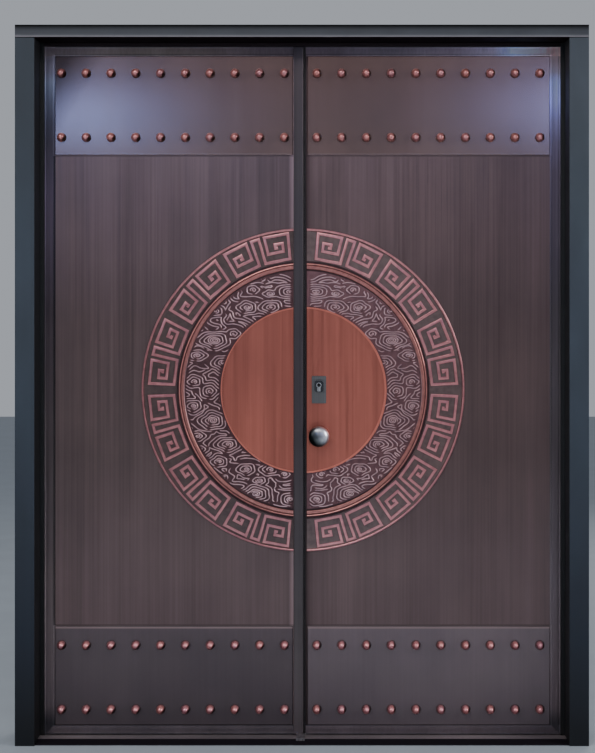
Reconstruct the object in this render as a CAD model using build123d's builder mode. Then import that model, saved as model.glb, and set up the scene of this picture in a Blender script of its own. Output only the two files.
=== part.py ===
from build123d import *
from math import cos, hypot, pi, radians, sin
import os

# A double security door in its steel frame, seen from outside along +Y.
# Lengths are millimetres, +X is to the right, +Z is up, and the origin is on
# the floor, in the middle of the doorway and of the depth of the frame.

# Doorway and frame
opening_width = 1780
opening_height = 2357
jamb_face = 65
head_face = 43
frame_depth = 200
frame_sheet = 2
frame_return = 20
stop_width = 13
stop_depth = 11
seal_width = 9
seal_thickness = 3.7
seal_clearance = 0.3

# How far a cut runs past the face that it opens
cut_spare = 1

# Leaves
leaf_thickness = 75
leaf_side_gap = 4
leaf_top_gap = 4
leaf_floor_gap = 8
skin_sheet = 2
seam_centre = 7
seam_gap = 8
seam_edge_radius = 4
lip_thickness = 4
lip_setback = 5
lip_gap = 0.6
border_side_inset = 14
border_top_inset = 12
border_bottom_inset = 3
border_width = 25
border_rise = 6
border_crest = 3

# Floor threshold
threshold_plate = 4
threshold_front_inset = 8
ridge_width = 43
ridge_height = 8
ridge_setback = 20
ridge_bevel = 2
stop_block_width = 30
stop_block_length = 64
stop_block_height = 8

# Meeting strip on the left leaf
strip_width = 33
strip_rise = 10
strip_radius = 3
strip_end_clearance = 2

# Stud bands
band_height = 336
band_thickness = 4
band_gap = 3
band_end_gap = 2
stud_count = 10
stud_radius = 16
stud_rise = 30
stud_row_inset = 59
lower_rows_drop = 5
stud_sides = 8
stud_profile = [(0, 1), (0.5, 0.9), (0.86, 0.6), (1, 0.26)]
left_stud_insets = (25, 31.2)
right_stud_insets = (38, 37.2)

# Medallion
medallion_x = 4
medallion_z = 1178
medallion_gap = 0.5
relief_base = 2.5
rim_radius = 547
rim_bead = 8
rim_rise = 6
fret_pairs = 3
fret_outer_line = 528
fret_inner_line = 443
fret_bar = 8.5
fret_rise = 5
fret_first_angle = 17.9
fret_pair_pitch = 28.7
# Corners of half a pair of keys: degrees from its middle, share of the way outwards
fret_pair_corners = [
    (7.9, 0.51),
    (5.9, 0.51),
    (5.9, 0.71),
    (9.9, 0.71),
    (9.9, 0.31),
    (3.5, 0.31),
    (3.5, 1),
    (12.3, 1),
    (12.3, 0),
    (1.4, 0),
    (1.4, 1),
]
ring_outer_radius = 428
ring_inner_radius = 410
ring_rise = 6
band_split_radius = 433
cloud_rise = 4.5
cloud_line = 6.5
# Clouds of one quarter: distance from the cut edge and from the level line, half width, turn
cloud_places = [
    (26, 366, 35, 1),
    (84, 320, 30, -1),
    (158, 330, 29, 1),
    (226, 276, 24, -1),
    (282, 222, 29, 1),
    (334, 150, 29, -1),
    (292, 104, 24, 1),
    (354, 48, 29, 1),
]
cloud_start = 5.5
cloud_pitch = 12
cloud_steps = 6
cloud_stretch = 1.3
cloud_lobe = 0.1
cloud_lobe_count = 5
tail_steps = 2
tail_length = 1.1
tail_drop = 0.3
disc_radius = 282
disc_thickness = 5
disc_rim = 5
disc_rim_rise = 3
edge_bead = 7
edge_bead_rise = 4

# Hinges
hinge_count = 3
hinge_height = 120
hinge_end = 250
hinge_axis_out = 9
hinge_plate = 4
hinge_plate_width = 40
knuckle_radius = 8
knuckle_bore_clearance = 0.05
knuckle_gap = 0.4
hinge_pin_radius = 5
hinge_pin_end_gap = 4

# Lock in the right leaf
lock_axis_x = 56
knob_z = 1022
cylinder_z = 1195
lock_case_depth = 92
lock_case_width = 22
lock_case_low = 985
lock_case_high = 1235
lock_case_wall = 2
faceplate_width = 26
faceplate_thickness = 3
faceplate_overhang = 18
latch_height = 18
latch_width = 14
latch_throw = 14
latch_tail = 14
latch_bevel = 9.8
latch_clearance = 0.4
deadbolt_radius = 7
deadbolt_pitch = 34
deadbolt_count = 3
deadbolt_length = 24
deadbolt_bar = 6
deadbolt_throw = 20
deadbolt_low_z = 1108
bolt_clearance = 0.4
strike_thickness = 2
strike_clearance = 1.5
strike_pocket_spare = 6

# Handles, cylinder and plates
knob_radius = 35
knob_neck_radius = 13
knob_neck_length = 17
knob_head_length = 30
knob_edge = 9
crown_steps = 4
rose_radius = 33
rose_thickness = 8
knob_gap = 0.3
spindle_side = 8
spindle_clearance = 3
spindle_hole_spare = 2
follower_radius = 13
follower_length = 12
cylinder_radius = 8.5
cylinder_leg_width = 10
cylinder_leg_drop = 21
cylinder_clearance = 0.3
cylinder_hole_spare = 1
cylinder_proud = 1
plug_radius = 6.25
plug_clearance = 0.05
key_slot_width = 2.2
key_slot_height = 8
key_slot_depth = 12
plate_width = 49
plate_height = 93
plate_thickness = 4
plate_centre_z = 1179
plate_radius = 3
boss_width = 31
boss_height = 39
boss_rise = 8
boss_centre_z = 1191
boss_radius = 9
thumb_width = 9
thumb_height = 26
thumb_length = 20
thumb_radius = 4.4

# Sliding bolts in the left leaf
rod_radius = 5
rod_inset = 28
rod_length = 240
rod_tip_setback = 2
rod_clearance = 0.4
top_rod_throw = 18
bottom_rod_throw = 9.5
rod_case_length = 180
rod_case_width = 18
rod_case_depth = 36
rod_case_setback = 40
rod_slider_width = 8
rod_slider_height = 16
rod_hole_clearance = 1

# Fixings to the wall
anchor_hole_radius = 6
anchor_low_z = 480
anchor_pitch = 466
anchor_count = 4
anchor_setback = 40

# Limits worked out from the sizes above
half_opening = opening_width / 2
frame_front = -frame_depth / 2
frame_back = frame_depth / 2
leaf_back = frame_back
leaf_front = leaf_back - leaf_thickness
leaf_middle = (leaf_front + leaf_back) / 2
leaf_outer = half_opening - leaf_side_gap
leaf_low = leaf_floor_gap
leaf_high = opening_height - leaf_top_gap
stop_back = leaf_front - seal_thickness - seal_clearance
stop_front = stop_back - stop_depth
seam_left = seam_centre - seam_gap / 2
seam_right = seam_centre + seam_gap / 2
lip_front = leaf_front + lip_setback
border_x = leaf_outer - border_side_inset
border_low = leaf_low + border_bottom_inset
border_high = leaf_high - border_top_inset
panel_x = border_x - border_width - border_crest
panel_low = border_low + border_width + border_crest
panel_high = border_high - border_width - border_crest
tray_back = leaf_back - skin_sheet
core_front = leaf_front + skin_sheet
strip_edge = seam_left - strip_width
hinge_x = half_opening - leaf_side_gap / 2
hinge_y = leaf_back + hinge_axis_out
medallion_front = leaf_front - relief_base
fret_depth = fret_outer_line - fret_inner_line
rod_x = seam_left - rod_inset
rod_channel = 2 * (rod_radius + rod_clearance)
plate_seats = {"outside": (leaf_front - disc_thickness, -1), "inside": (leaf_back, 1)}
case_front_x = seam_right + faceplate_thickness
latch_length = latch_throw + latch_tail
strike_pocket = deadbolt_throw + strike_pocket_spare
cut_reach = 2 * frame_sheet

leaf_span = {"left": (-leaf_outer, seam_left), "right": (seam_right, leaf_outer)}
panel_span = {"left": (-panel_x, strip_edge), "right": (seam_right, panel_x)}
border_span = {"left": (-leaf_outer, strip_edge), "right": (seam_right, leaf_outer)}
lip_span = {
    "left": (seam_left, seam_centre - lip_gap / 2),
    "right": (seam_centre + lip_gap / 2, seam_right),
}
stud_span = {
    "left": (-panel_x + left_stud_insets[0], strip_edge - left_stud_insets[1]),
    "right": (seam_right + right_stud_insets[0], panel_x - right_stud_insets[1]),
}
hinge_side = {"left": -1, "right": 1}

os.makedirs("parts", exist_ok=True)


def facing(y):
    """The plane at depth y that looks outwards, its own axes along X and Z."""
    return Plane.XZ.offset(-y)


def span(x_low, x_high, z_low, z_high, mode=Mode.ADD):
    """A rectangle between two pairs of limits in the current sketch."""
    with Locations(((x_low + x_high) / 2, (z_low + z_high) / 2)):
        Rectangle(x_high - x_low, z_high - z_low, mode=mode)


def write(piece, name):
    """Label one finished piece and write its file."""
    piece.part.label = name
    export_step(piece.part, f"parts/{name}.step")


def on_ring(angle, radius, side):
    """A point of the medallion: angle from the top in degrees, side -1 or 1."""
    return (side * radius * sin(radians(angle)), radius * cos(radians(angle)))


def ribbon(points, width):
    """The outline of a bar of one width along a bent line, with mitred bends."""
    left, right = [], []
    for i, (x, z) in enumerate(points):
        x_in, z_in = points[max(i - 1, 0)]
        x_out, z_out = points[min(i + 1, len(points) - 1)]
        before = (x - x_in, z - z_in) if i else (x_out - x, z_out - z)
        after = (x_out - x, z_out - z) if i < len(points) - 1 else before
        size_before = hypot(*before)
        size_after = hypot(*after)
        normal_x = -(before[1] / size_before + after[1] / size_after)
        normal_z = before[0] / size_before + after[0] / size_after
        size = hypot(normal_x, normal_z)
        square = (normal_x * -before[1] + normal_z * before[0]) / (size * size_before)
        reach = width / 2 / max(square, 0.5)
        shift_x = normal_x / size * reach
        shift_z = normal_z / size * reach
        left.append((x + shift_x, z + shift_z))
        right.append((x - shift_x, z - shift_z))
    return left + right[::-1]


# Frame: folded sheet, open towards the wall
def frame_section(face):
    """The fold line of the frame, as outward distance from the opening and depth."""
    return [
        (face, frame_front + frame_return),
        (face, frame_front),
        (0, frame_front),
        (0, stop_front),
        (-stop_width, stop_front),
        (-stop_width, stop_back),
        (0, stop_back),
        (0, frame_back),
        (face, frame_back),
        (face, frame_back - frame_return),
    ]


for side in ("left", "right"):
    sign = hinge_side[side]
    with BuildPart() as jamb:
        with BuildSketch(Plane.XY):
            with BuildLine():
                Polyline([(sign * (half_opening + x), y) for x, y in frame_section(jamb_face)])
                wall = Side.RIGHT if sign > 0 else Side.LEFT
                offset(amount=frame_sheet, side=wall, kind=Kind.INTERSECTION, mode=Mode.ADD)
            make_face()
        extrude(amount=opening_height)
        with BuildSketch(Plane.YZ.offset(sign * half_opening)):
            for i in range(anchor_count):
                with Locations((stop_back + anchor_setback, anchor_low_z + i * anchor_pitch)):
                    Circle(anchor_hole_radius)
        extrude(amount=cut_reach, both=True, mode=Mode.SUBTRACT)
    write(jamb, f"jamb_{side}")

with BuildPart() as head:
    head_end = half_opening + jamb_face
    with BuildSketch(Plane.YZ.offset(-head_end)):
        with BuildLine():
            Polyline([(y, opening_height + z) for z, y in frame_section(head_face)])
            offset(amount=frame_sheet, side=Side.LEFT, kind=Kind.INTERSECTION, mode=Mode.ADD)
        make_face()
    extrude(amount=2 * head_end)
    for sign in (-1, 1):
        clear = half_opening - stop_width
        with BuildSketch(Plane.XY.offset(opening_height)):
            span(*sorted((sign * clear, sign * head_end)), frame_front, frame_back)
        extrude(amount=-stop_width, mode=Mode.SUBTRACT)
    with BuildSketch(Plane.XY.offset(opening_height)):
        with Locations((rod_x, leaf_middle)):
            Circle(rod_radius + rod_hole_clearance)
    extrude(amount=cut_reach, both=True, mode=Mode.SUBTRACT)
write(head, "head")

with BuildPart() as threshold:
    ridge_back = leaf_front - ridge_setback
    ridge_front = ridge_back - ridge_width
    block_x = seam_left + strip_end_clearance + seam_gap / 2 - stop_block_width / 2
    with BuildSketch(Plane.YZ.offset(-half_opening)):
        with BuildLine():
            Polyline(
                (frame_front + threshold_front_inset, 0),
                (frame_back, 0),
                (frame_back, threshold_plate),
                (ridge_back + ridge_bevel, threshold_plate),
                (ridge_back, ridge_height),
                (ridge_front, ridge_height),
                (ridge_front - ridge_bevel, threshold_plate),
                (frame_front + threshold_front_inset + ridge_bevel, threshold_plate),
                close=True,
            )
        make_face()
    extrude(amount=2 * half_opening)
    with BuildSketch(Plane.XY.offset(threshold_plate)):
        with Locations((block_x, leaf_front - strip_rise - stop_block_length / 2)):
            Rectangle(stop_block_width, stop_block_length)
    extrude(amount=ridge_height, mode=Mode.SUBTRACT)
    with BuildSketch(Plane.XY):
        with Locations((rod_x, leaf_middle)):
            Circle(rod_radius + rod_hole_clearance)
        for sign in (-1, 1):
            clear = half_opening - stop_width
            span(*sorted((sign * clear, sign * half_opening)), stop_front, stop_back)
    extrude(amount=threshold_plate, mode=Mode.SUBTRACT)
write(threshold, "threshold")

with BuildPart() as centre_stop:
    with BuildSketch(Plane.XY.offset(threshold_plate)):
        with Locations((block_x, leaf_front - strip_rise - seal_clearance - stop_block_length / 2)):
            Rectangle(stop_block_width - 2 * seal_clearance, stop_block_length - 2 * seal_clearance)
    extrude(amount=stop_block_height)
    with BuildSketch(Plane.XY.offset(threshold_plate + stop_block_height)):
        with GridLocations(stop_block_width / 2, 0, 2, 1):
            with Locations((block_x, leaf_front - strip_rise - stop_block_length / 2)):
                Rectangle(ridge_bevel, stop_block_length + cut_spare)
    extrude(amount=-ridge_bevel, mode=Mode.SUBTRACT)
write(centre_stop, "centre_stop")

for side in ("left", "right"):
    sign = hinge_side[side]
    seal_edge = half_opening - stop_width
    with BuildPart() as seal:
        with BuildSketch(Plane.XY.offset(threshold_plate)):
            near_x, far_x = sorted((sign * seal_edge, sign * (seal_edge + seal_width)))
            span(near_x, far_x, stop_back, stop_back + seal_thickness)
        extrude(amount=opening_height - stop_width - threshold_plate)
    write(seal, f"frame_seal_{side}")

with BuildPart() as seal_top:
    with BuildSketch(facing(stop_back)):
        seal_end = half_opening - stop_width + seal_width
        seal_low = opening_height - stop_width
        span(-seal_end, seal_end, seal_low, seal_low + seal_width)
    extrude(amount=-seal_thickness)
write(seal_top, "frame_seal_top")

# Lift-off hinges, welded to the inner faces: the lower half carries the pin
hinge_heights = [
    hinge_end + i * (opening_height - 2 * hinge_end) / (hinge_count - 1) for i in range(hinge_count)
]
half_height = hinge_height / 2 - knuckle_gap / 2
for side in ("left", "right"):
    sign = hinge_side[side]
    axis_x = sign * hinge_x
    with BuildPart() as frame_halves:
        for z in hinge_heights:
            near = sign * half_opening
            with BuildSketch(Plane.XY.offset(z - hinge_height / 2)):
                span(*sorted((near, near + sign * hinge_plate_width)), leaf_back, leaf_back + hinge_plate)
                with Locations((axis_x, hinge_y)):
                    Circle(knuckle_radius)
            extrude(amount=half_height)
            with BuildSketch(Plane.XY.offset(z - knuckle_gap / 2)):
                with Locations((axis_x, hinge_y)):
                    Circle(hinge_pin_radius)
            extrude(amount=hinge_height / 2 - hinge_pin_end_gap)
    write(frame_halves, f"hinge_frame_halves_{side}")
    with BuildPart() as leaf_halves:
        for z in hinge_heights:
            near = sign * leaf_outer
            with BuildSketch(Plane.XY.offset(z + knuckle_gap / 2)):
                span(*sorted((near, near - sign * hinge_plate_width)), leaf_back, leaf_back + hinge_plate)
                with Locations((axis_x, hinge_y)):
                    Circle(knuckle_radius)
            extrude(amount=half_height)
            with BuildSketch(Plane.XY.offset(z + knuckle_gap / 2)):
                with Locations((axis_x, hinge_y)):
                    Circle(hinge_pin_radius + knuckle_bore_clearance)
            extrude(amount=hinge_height / 2 - hinge_pin_end_gap, mode=Mode.SUBTRACT)
    write(leaf_halves, f"hinge_leaf_halves_{side}")

# Leaves: a pressed front tray, a flat back sheet and a core between them
lock_span = (lock_case_low - faceplate_overhang, lock_case_high + faceplate_overhang)
face_half = faceplate_width / 2
euro_low = cylinder_z - cylinder_leg_drop
top_case_high = leaf_high - rod_case_setback
bottom_case_low = leaf_low + rod_case_setback
rod_case_spans = {
    "top": (top_case_high - rod_case_length, top_case_high),
    "bottom": (bottom_case_low, bottom_case_low + rod_case_length),
}


def euro_profile(extra, mode=Mode.ADD):
    """The section of the lock cylinder: a round barrel with a narrow leg below it."""
    with Locations((lock_axis_x, cylinder_z)):
        Circle(cylinder_radius + extra, mode=mode)
    half = cylinder_leg_width / 2 + extra
    span(lock_axis_x - half, lock_axis_x + half, euro_low - extra, cylinder_z, mode=mode)


def handle_holes():
    """Holes for the spindle and the lock cylinder, in the current sketch."""
    with Locations((lock_axis_x, knob_z)):
        Circle(spindle_side / 2 + spindle_clearance + spindle_hole_spare)
    euro_profile(cylinder_hole_spare)


for side in ("left", "right"):
    low_x, high_x = leaf_span[side]
    edge_x = seam_left if side == "left" else seam_right
    with BuildPart() as front_skin:
        with BuildSketch(facing(leaf_front)):
            span(-border_x, border_x, border_low, border_high)
        with BuildSketch(facing(leaf_front - border_rise)):
            span(
                -border_x + border_width,
                border_x - border_width,
                border_low + border_width,
                border_high - border_width,
            )
        loft()
        with BuildSketch(facing(leaf_front)):
            span(-panel_x, panel_x, panel_low, panel_high)
        extrude(amount=border_rise, mode=Mode.SUBTRACT)
        with BuildSketch(facing(leaf_front)):
            span(*border_span[side], leaf_low, leaf_high)
        extrude(amount=border_rise, mode=Mode.INTERSECT)
        with BuildSketch(facing(leaf_front)):
            span(low_x, high_x, leaf_low, leaf_high)
        extrude(amount=leaf_front - tray_back)
        if side == "right":
            upright_edges = front_skin.edges().filter_by(Axis.Z)
            seam_edges = upright_edges.filter_by_position(Axis.X, edge_x - cut_spare, edge_x + cut_spare)
            fillet(seam_edges.sort_by(Axis.Y)[0], seam_edge_radius)
        with BuildSketch(facing(core_front)):
            span(low_x + skin_sheet, high_x - skin_sheet, leaf_low + skin_sheet, leaf_high - skin_sheet)
        extrude(amount=core_front - tray_back, mode=Mode.SUBTRACT)
        with BuildSketch(Plane.YZ.offset(edge_x)):
            span(leaf_middle - face_half, leaf_middle + face_half, *lock_span)
            if side == "left":
                half = rod_case_width / 2
                for z_low, z_high in rod_case_spans.values():
                    span(leaf_middle - half, leaf_middle + half, z_low, z_high)
        extrude(amount=2 * skin_sheet, both=True, mode=Mode.SUBTRACT)
        if side == "right":
            with BuildSketch(facing(core_front)):
                handle_holes()
            extrude(amount=2 * skin_sheet, mode=Mode.SUBTRACT)
        else:
            with BuildSketch(Plane.XY.offset(leaf_low - cut_spare)):
                with Locations((rod_x, leaf_middle)):
                    Circle(rod_radius + rod_clearance)
            extrude(amount=leaf_high - leaf_low + 2 * cut_spare, mode=Mode.SUBTRACT)
    write(front_skin, f"front_skin_{side}")

    with BuildPart() as back_skin:
        with BuildSketch(facing(leaf_back)):
            span(low_x, high_x, leaf_low, leaf_high)
        extrude(amount=skin_sheet)
        if side == "right":
            with BuildSketch(facing(leaf_back)):
                handle_holes()
            extrude(amount=skin_sheet, mode=Mode.SUBTRACT)
    write(back_skin, f"back_skin_{side}")

    with BuildPart() as core:
        with BuildSketch(facing(core_front)):
            span(low_x + skin_sheet, high_x - skin_sheet, leaf_low + skin_sheet, leaf_high - skin_sheet)
        extrude(amount=core_front - tray_back)
        if side == "right":
            with BuildSketch(Plane.YZ.offset(edge_x)):
                half = lock_case_width / 2
                span(leaf_middle - half, leaf_middle + half, lock_case_low, lock_case_high)
            extrude(amount=faceplate_thickness + lock_case_depth, mode=Mode.SUBTRACT)
            with BuildSketch(Plane.YZ.offset(edge_x)):
                span(leaf_middle - face_half, leaf_middle + face_half, *lock_span)
            extrude(amount=faceplate_thickness, mode=Mode.SUBTRACT)
            with BuildSketch(facing(core_front)):
                handle_holes()
            extrude(amount=core_front - tray_back, mode=Mode.SUBTRACT)
        else:
            with BuildSketch(Plane.YZ.offset(edge_x)):
                half = faceplate_width / 2 - strike_clearance
                span(leaf_middle - half, leaf_middle + half, lock_case_low, lock_case_high)
            extrude(amount=-strike_pocket, mode=Mode.SUBTRACT)
            with BuildSketch(Plane.YZ.offset(edge_x)):
                half = rod_case_width / 2
                for z_low, z_high in rod_case_spans.values():
                    span(leaf_middle - half, leaf_middle + half, z_low, z_high)
            extrude(amount=-rod_case_depth, mode=Mode.SUBTRACT)
            with BuildSketch(Plane.XY.offset(leaf_low)):
                with Locations((rod_x, leaf_middle)):
                    Rectangle(rod_channel, rod_channel)
            extrude(amount=rod_tip_setback + rod_length + rod_clearance, mode=Mode.SUBTRACT)
            with BuildSketch(Plane.XY.offset(leaf_high)):
                with Locations((rod_x, leaf_middle)):
                    Rectangle(rod_channel, rod_channel)
            extrude(amount=-rod_tip_setback - rod_length - rod_clearance, mode=Mode.SUBTRACT)
    write(core, f"core_{side}")

    with BuildPart() as lip:
        with BuildSketch(Plane.XY.offset(leaf_low)):
            span(*lip_span[side], lip_front, lip_front + lip_thickness)
        extrude(amount=leaf_high - leaf_low)
    write(lip, f"meeting_seal_{side}")

# Meeting strip along the seam edge of the left leaf
with BuildPart() as meeting_strip:
    with BuildSketch(Plane.XY.offset(leaf_low + strip_end_clearance)):
        span(strip_edge, seam_left, leaf_front - strip_rise, leaf_front)
    extrude(amount=opening_height - stop_width - leaf_low - 2 * strip_end_clearance)
    front_edges = meeting_strip.edges().filter_by(Axis.Z).group_by(Axis.Y)[0]
    fillet(front_edges, strip_radius)
write(meeting_strip, "meeting_strip")

# Stud bands
band_levels = {
    "top": (panel_high - band_height, panel_high),
    "bottom": (panel_low, panel_low + band_height),
}
for side in ("left", "right"):
    low_x, high_x = panel_span[side]
    low_x += band_gap if side == "left" else seam_edge_radius + band_end_gap
    high_x -= band_gap if side == "right" else band_end_gap
    first_x, last_x = stud_span[side]
    stud_pitch = (last_x - first_x) / (stud_count - 1)
    for level, (low_z, high_z) in band_levels.items():
        with BuildPart() as band:
            with BuildSketch(facing(leaf_front)):
                span(low_x, high_x, low_z, high_z)
            extrude(amount=band_thickness)
            chamfer(band.faces().sort_by(Axis.Y)[0].edges(), band_thickness / 2)
        write(band, f"{level}_band_{side}")
    with BuildPart() as studs:
        for level, (low_z, high_z) in band_levels.items():
            drop = lower_rows_drop if level == "bottom" else 0
            for z in (low_z + stud_row_inset - drop, high_z - stud_row_inset - drop):
                for i in range(stud_count):
                    for rise, share in stud_profile:
                        with BuildSketch(facing(leaf_front - band_thickness - rise * stud_rise)):
                            with Locations((first_x + i * stud_pitch, z)):
                                RegularPolygon(share * stud_radius, stud_sides)
                    loft(ruled=True)
    write(studs, f"studs_{side}")

# Medallion: fret ring, cloud ring and plain disc, each in two halves
fret_pair_path = [(a, fret_inner_line + share * fret_depth) for a, share in fret_pair_corners]


def cloud_path(half_width, turn):
    """A cloud about the origin: a spiral that grows into lobes and ends in a tail."""
    path = []
    turns = (half_width - cloud_start) / cloud_pitch
    steps = round(turns * cloud_steps)
    for i in range(steps + 1):
        share = i / steps
        angle = 2 * pi * turns * (share - 1)
        lobes = 1 + cloud_lobe * share * cos(cloud_lobe_count * angle)
        radius = (cloud_start + (half_width - cloud_start) * share) * lobes
        path.append((cloud_stretch * radius * cos(angle) * turn, radius * sin(angle)))
    x, z = path[-1]
    for i in range(1, tail_steps + 1):
        share = i / tail_steps
        across = turn * half_width * tail_length * share
        path.append((x + across, z - half_width * tail_drop * sin(pi * share)))
    return path


for side in ("left", "right"):
    sign = hinge_side[side]
    low_x, high_x = leaf_span[side]
    if side == "left":
        cut = (-leaf_outer, strip_edge - medallion_gap)
    else:
        cut = (seam_right + seam_edge_radius, leaf_outer)
    centre = (medallion_x, medallion_z)
    half_box = (*cut, medallion_z - leaf_outer, medallion_z + leaf_outer)

    with BuildPart() as fret_ring:
        with BuildSketch(facing(leaf_front)):
            with Locations(centre):
                Circle(rim_radius + rim_bead / 2)
                Circle(band_split_radius, mode=Mode.SUBTRACT)
            span(*half_box, mode=Mode.INTERSECT)
        extrude(amount=relief_base)
        with BuildSketch(facing(medallion_front)):
            with Locations(centre):
                Circle(rim_radius + rim_bead / 2)
                Circle(rim_radius - rim_bead / 2, mode=Mode.SUBTRACT)
            span(*half_box, mode=Mode.INTERSECT)
        extrude(amount=rim_rise - relief_base)
        with BuildSketch(facing(medallion_front)):
            for up in (1, -1):
                for pair in range(fret_pairs):
                    middle = fret_first_angle + pair * fret_pair_pitch
                    inward = [on_ring(middle - a, r, sign) for a, r in fret_pair_path]
                    outward = [on_ring(middle + a, r, sign) for a, r in fret_pair_path]
                    path = inward + outward[::-1]
                    bar = [(medallion_x + x, medallion_z + up * z) for x, z in path]
                    with BuildLine():
                        Polyline(ribbon(bar, fret_bar), close=True)
                    make_face()
        extrude(amount=fret_rise - relief_base)
    write(fret_ring, f"fret_ring_{side}")

    with BuildPart() as cloud_ring:
        with BuildSketch(facing(leaf_front)):
            with Locations(centre):
                Circle(band_split_radius - medallion_gap)
                Circle(disc_radius + medallion_gap, mode=Mode.SUBTRACT)
            span(*half_box, mode=Mode.INTERSECT)
        extrude(amount=relief_base)
        with BuildSketch(facing(medallion_front)):
            with Locations(centre):
                Circle(ring_outer_radius)
                Circle(ring_inner_radius, mode=Mode.SUBTRACT)
            span(*half_box, mode=Mode.INTERSECT)
        extrude(amount=ring_rise - relief_base)
        with BuildSketch(facing(medallion_front)):
            for up in (1, -1):
                for out, rise, half_width, turn in cloud_places:
                    cloud = ribbon(cloud_path(half_width, turn * sign), cloud_line)
                    start_x = cut[1] - out if side == "left" else cut[0] + out
                    with BuildLine():
                        Polyline(
                            [(start_x + x, medallion_z + up * (rise + z)) for x, z in cloud],
                            close=True,
                        )
                    make_face()
            with Locations(centre):
                Circle(ring_inner_radius, mode=Mode.INTERSECT)
                Circle(disc_radius + medallion_gap, mode=Mode.SUBTRACT)
            span(*half_box, mode=Mode.INTERSECT)
        extrude(amount=cloud_rise - relief_base)
    write(cloud_ring, f"cloud_ring_{side}")

    with BuildPart() as disc:
        with BuildSketch(facing(leaf_front)):
            with Locations(centre):
                Circle(disc_radius)
            span(*half_box, mode=Mode.INTERSECT)
        extrude(amount=disc_thickness)
        with BuildSketch(facing(leaf_front - disc_thickness)):
            with Locations(centre):
                Circle(disc_radius)
                Circle(disc_radius - disc_rim, mode=Mode.SUBTRACT)
            span(*half_box, mode=Mode.INTERSECT)
        extrude(amount=disc_rim_rise)
        with BuildSketch(facing(leaf_front - disc_thickness)):
            if side == "left":
                span(cut[1] - edge_bead, cut[1], medallion_z - disc_radius, medallion_z + disc_radius)
            else:
                span(cut[0], cut[0] + edge_bead, medallion_z - disc_radius, medallion_z + disc_radius)
            with Locations(centre):
                Circle(disc_radius, mode=Mode.INTERSECT)
        extrude(amount=edge_bead_rise)
        if side == "right":
            with BuildSketch(facing(leaf_front)):
                handle_holes()
            extrude(amount=disc_thickness, mode=Mode.SUBTRACT)
    write(disc, f"disc_{side}")

# Strike plate and sliding bolts on the seam edge of the left leaf
with BuildPart() as strike_plate:
    with BuildSketch(Plane.YZ.offset(seam_left - strike_thickness)):
        span(leaf_middle - face_half, leaf_middle + face_half, *lock_span)
        half = latch_width / 2 + strike_clearance
        latch_half = latch_height / 2 + strike_clearance
        latch_span = (knob_z - latch_half, knob_z + latch_half)
        span(leaf_middle - half, leaf_middle + half, *latch_span, Mode.SUBTRACT)
        for i in range(deadbolt_count):
            with Locations((leaf_middle, deadbolt_low_z + i * deadbolt_pitch)):
                Circle(deadbolt_radius + strike_clearance, mode=Mode.SUBTRACT)
    extrude(amount=strike_thickness)
write(strike_plate, "strike_plate")

for level, (low_z, high_z) in rod_case_spans.items():
    upward = level == "top"
    throw = top_rod_throw if upward else bottom_rod_throw
    tip = leaf_high - rod_tip_setback if upward else leaf_low + rod_tip_setback
    tail = tip - rod_length if upward else tip + rod_length
    slider_z = (low_z + high_z) / 2
    reach = throw if upward else -throw
    with BuildPart() as rod_case:
        with BuildSketch(Plane.XY.offset(low_z)):
            half = rod_case_width / 2
            span(seam_left - rod_case_depth, seam_left, leaf_middle - half, leaf_middle + half)
            with Locations((rod_x, leaf_middle)):
                Circle(rod_radius + rod_clearance, mode=Mode.SUBTRACT)
        extrude(amount=high_z - low_z)
        with BuildSketch(Plane.YZ.offset(seam_left)):
            half = rod_slider_width / 2 + rod_clearance
            slot_low = slider_z - rod_slider_height / 2 + min(reach, 0) - rod_hole_clearance
            slot_high = slider_z + rod_slider_height / 2 + max(reach, 0) + rod_hole_clearance
            span(leaf_middle - half, leaf_middle + half, slot_low, slot_high)
        extrude(amount=-rod_inset, mode=Mode.SUBTRACT)
    write(rod_case, f"{level}_bolt_case")
    with BuildPart() as rod:
        with BuildSketch(Plane.XY.offset(min(tip, tail))):
            with Locations((rod_x, leaf_middle)):
                Circle(rod_radius)
        extrude(amount=rod_length)
        with BuildSketch(Plane.YZ.offset(rod_x)):
            with Locations((leaf_middle, slider_z)):
                Rectangle(rod_slider_width, rod_slider_height)
        extrude(amount=rod_inset - rod_clearance)
    write(rod, f"{level}_bolt")

# Lock case, faceplate, latch and bolts in the right leaf
case_half = lock_case_width / 2
with BuildPart() as lock_case:
    with BuildSketch(Plane.YZ.offset(case_front_x)):
        span(leaf_middle - case_half, leaf_middle + case_half, lock_case_low, lock_case_high)
    extrude(amount=lock_case_depth)
    with BuildSketch(Plane.YZ.offset(case_front_x)):
        inner = case_half - lock_case_wall
        span(
            leaf_middle - inner,
            leaf_middle + inner,
            lock_case_low + lock_case_wall,
            lock_case_high - lock_case_wall,
        )
    extrude(amount=lock_case_depth - lock_case_wall, mode=Mode.SUBTRACT)
    with BuildSketch(facing(leaf_middle - lock_case_width)):
        with Locations((lock_axis_x, knob_z)):
            Circle(spindle_side / 2 + spindle_clearance)
        euro_profile(cylinder_clearance)
    extrude(amount=-2 * lock_case_width, mode=Mode.SUBTRACT)
write(lock_case, "lock_case")

with BuildPart() as faceplate:
    with BuildSketch(Plane.YZ.offset(seam_right)):
        span(leaf_middle - face_half, leaf_middle + face_half, *lock_span)
        half = latch_width / 2 + latch_clearance
        latch_half = latch_height / 2 + latch_clearance
        latch_span = (knob_z - latch_half, knob_z + latch_half)
        span(leaf_middle - half, leaf_middle + half, *latch_span, Mode.SUBTRACT)
        for i in range(deadbolt_count):
            with Locations((leaf_middle, deadbolt_low_z + i * deadbolt_pitch)):
                Circle(deadbolt_radius + bolt_clearance, mode=Mode.SUBTRACT)
    extrude(amount=faceplate_thickness)
write(faceplate, "lock_faceplate")

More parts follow.
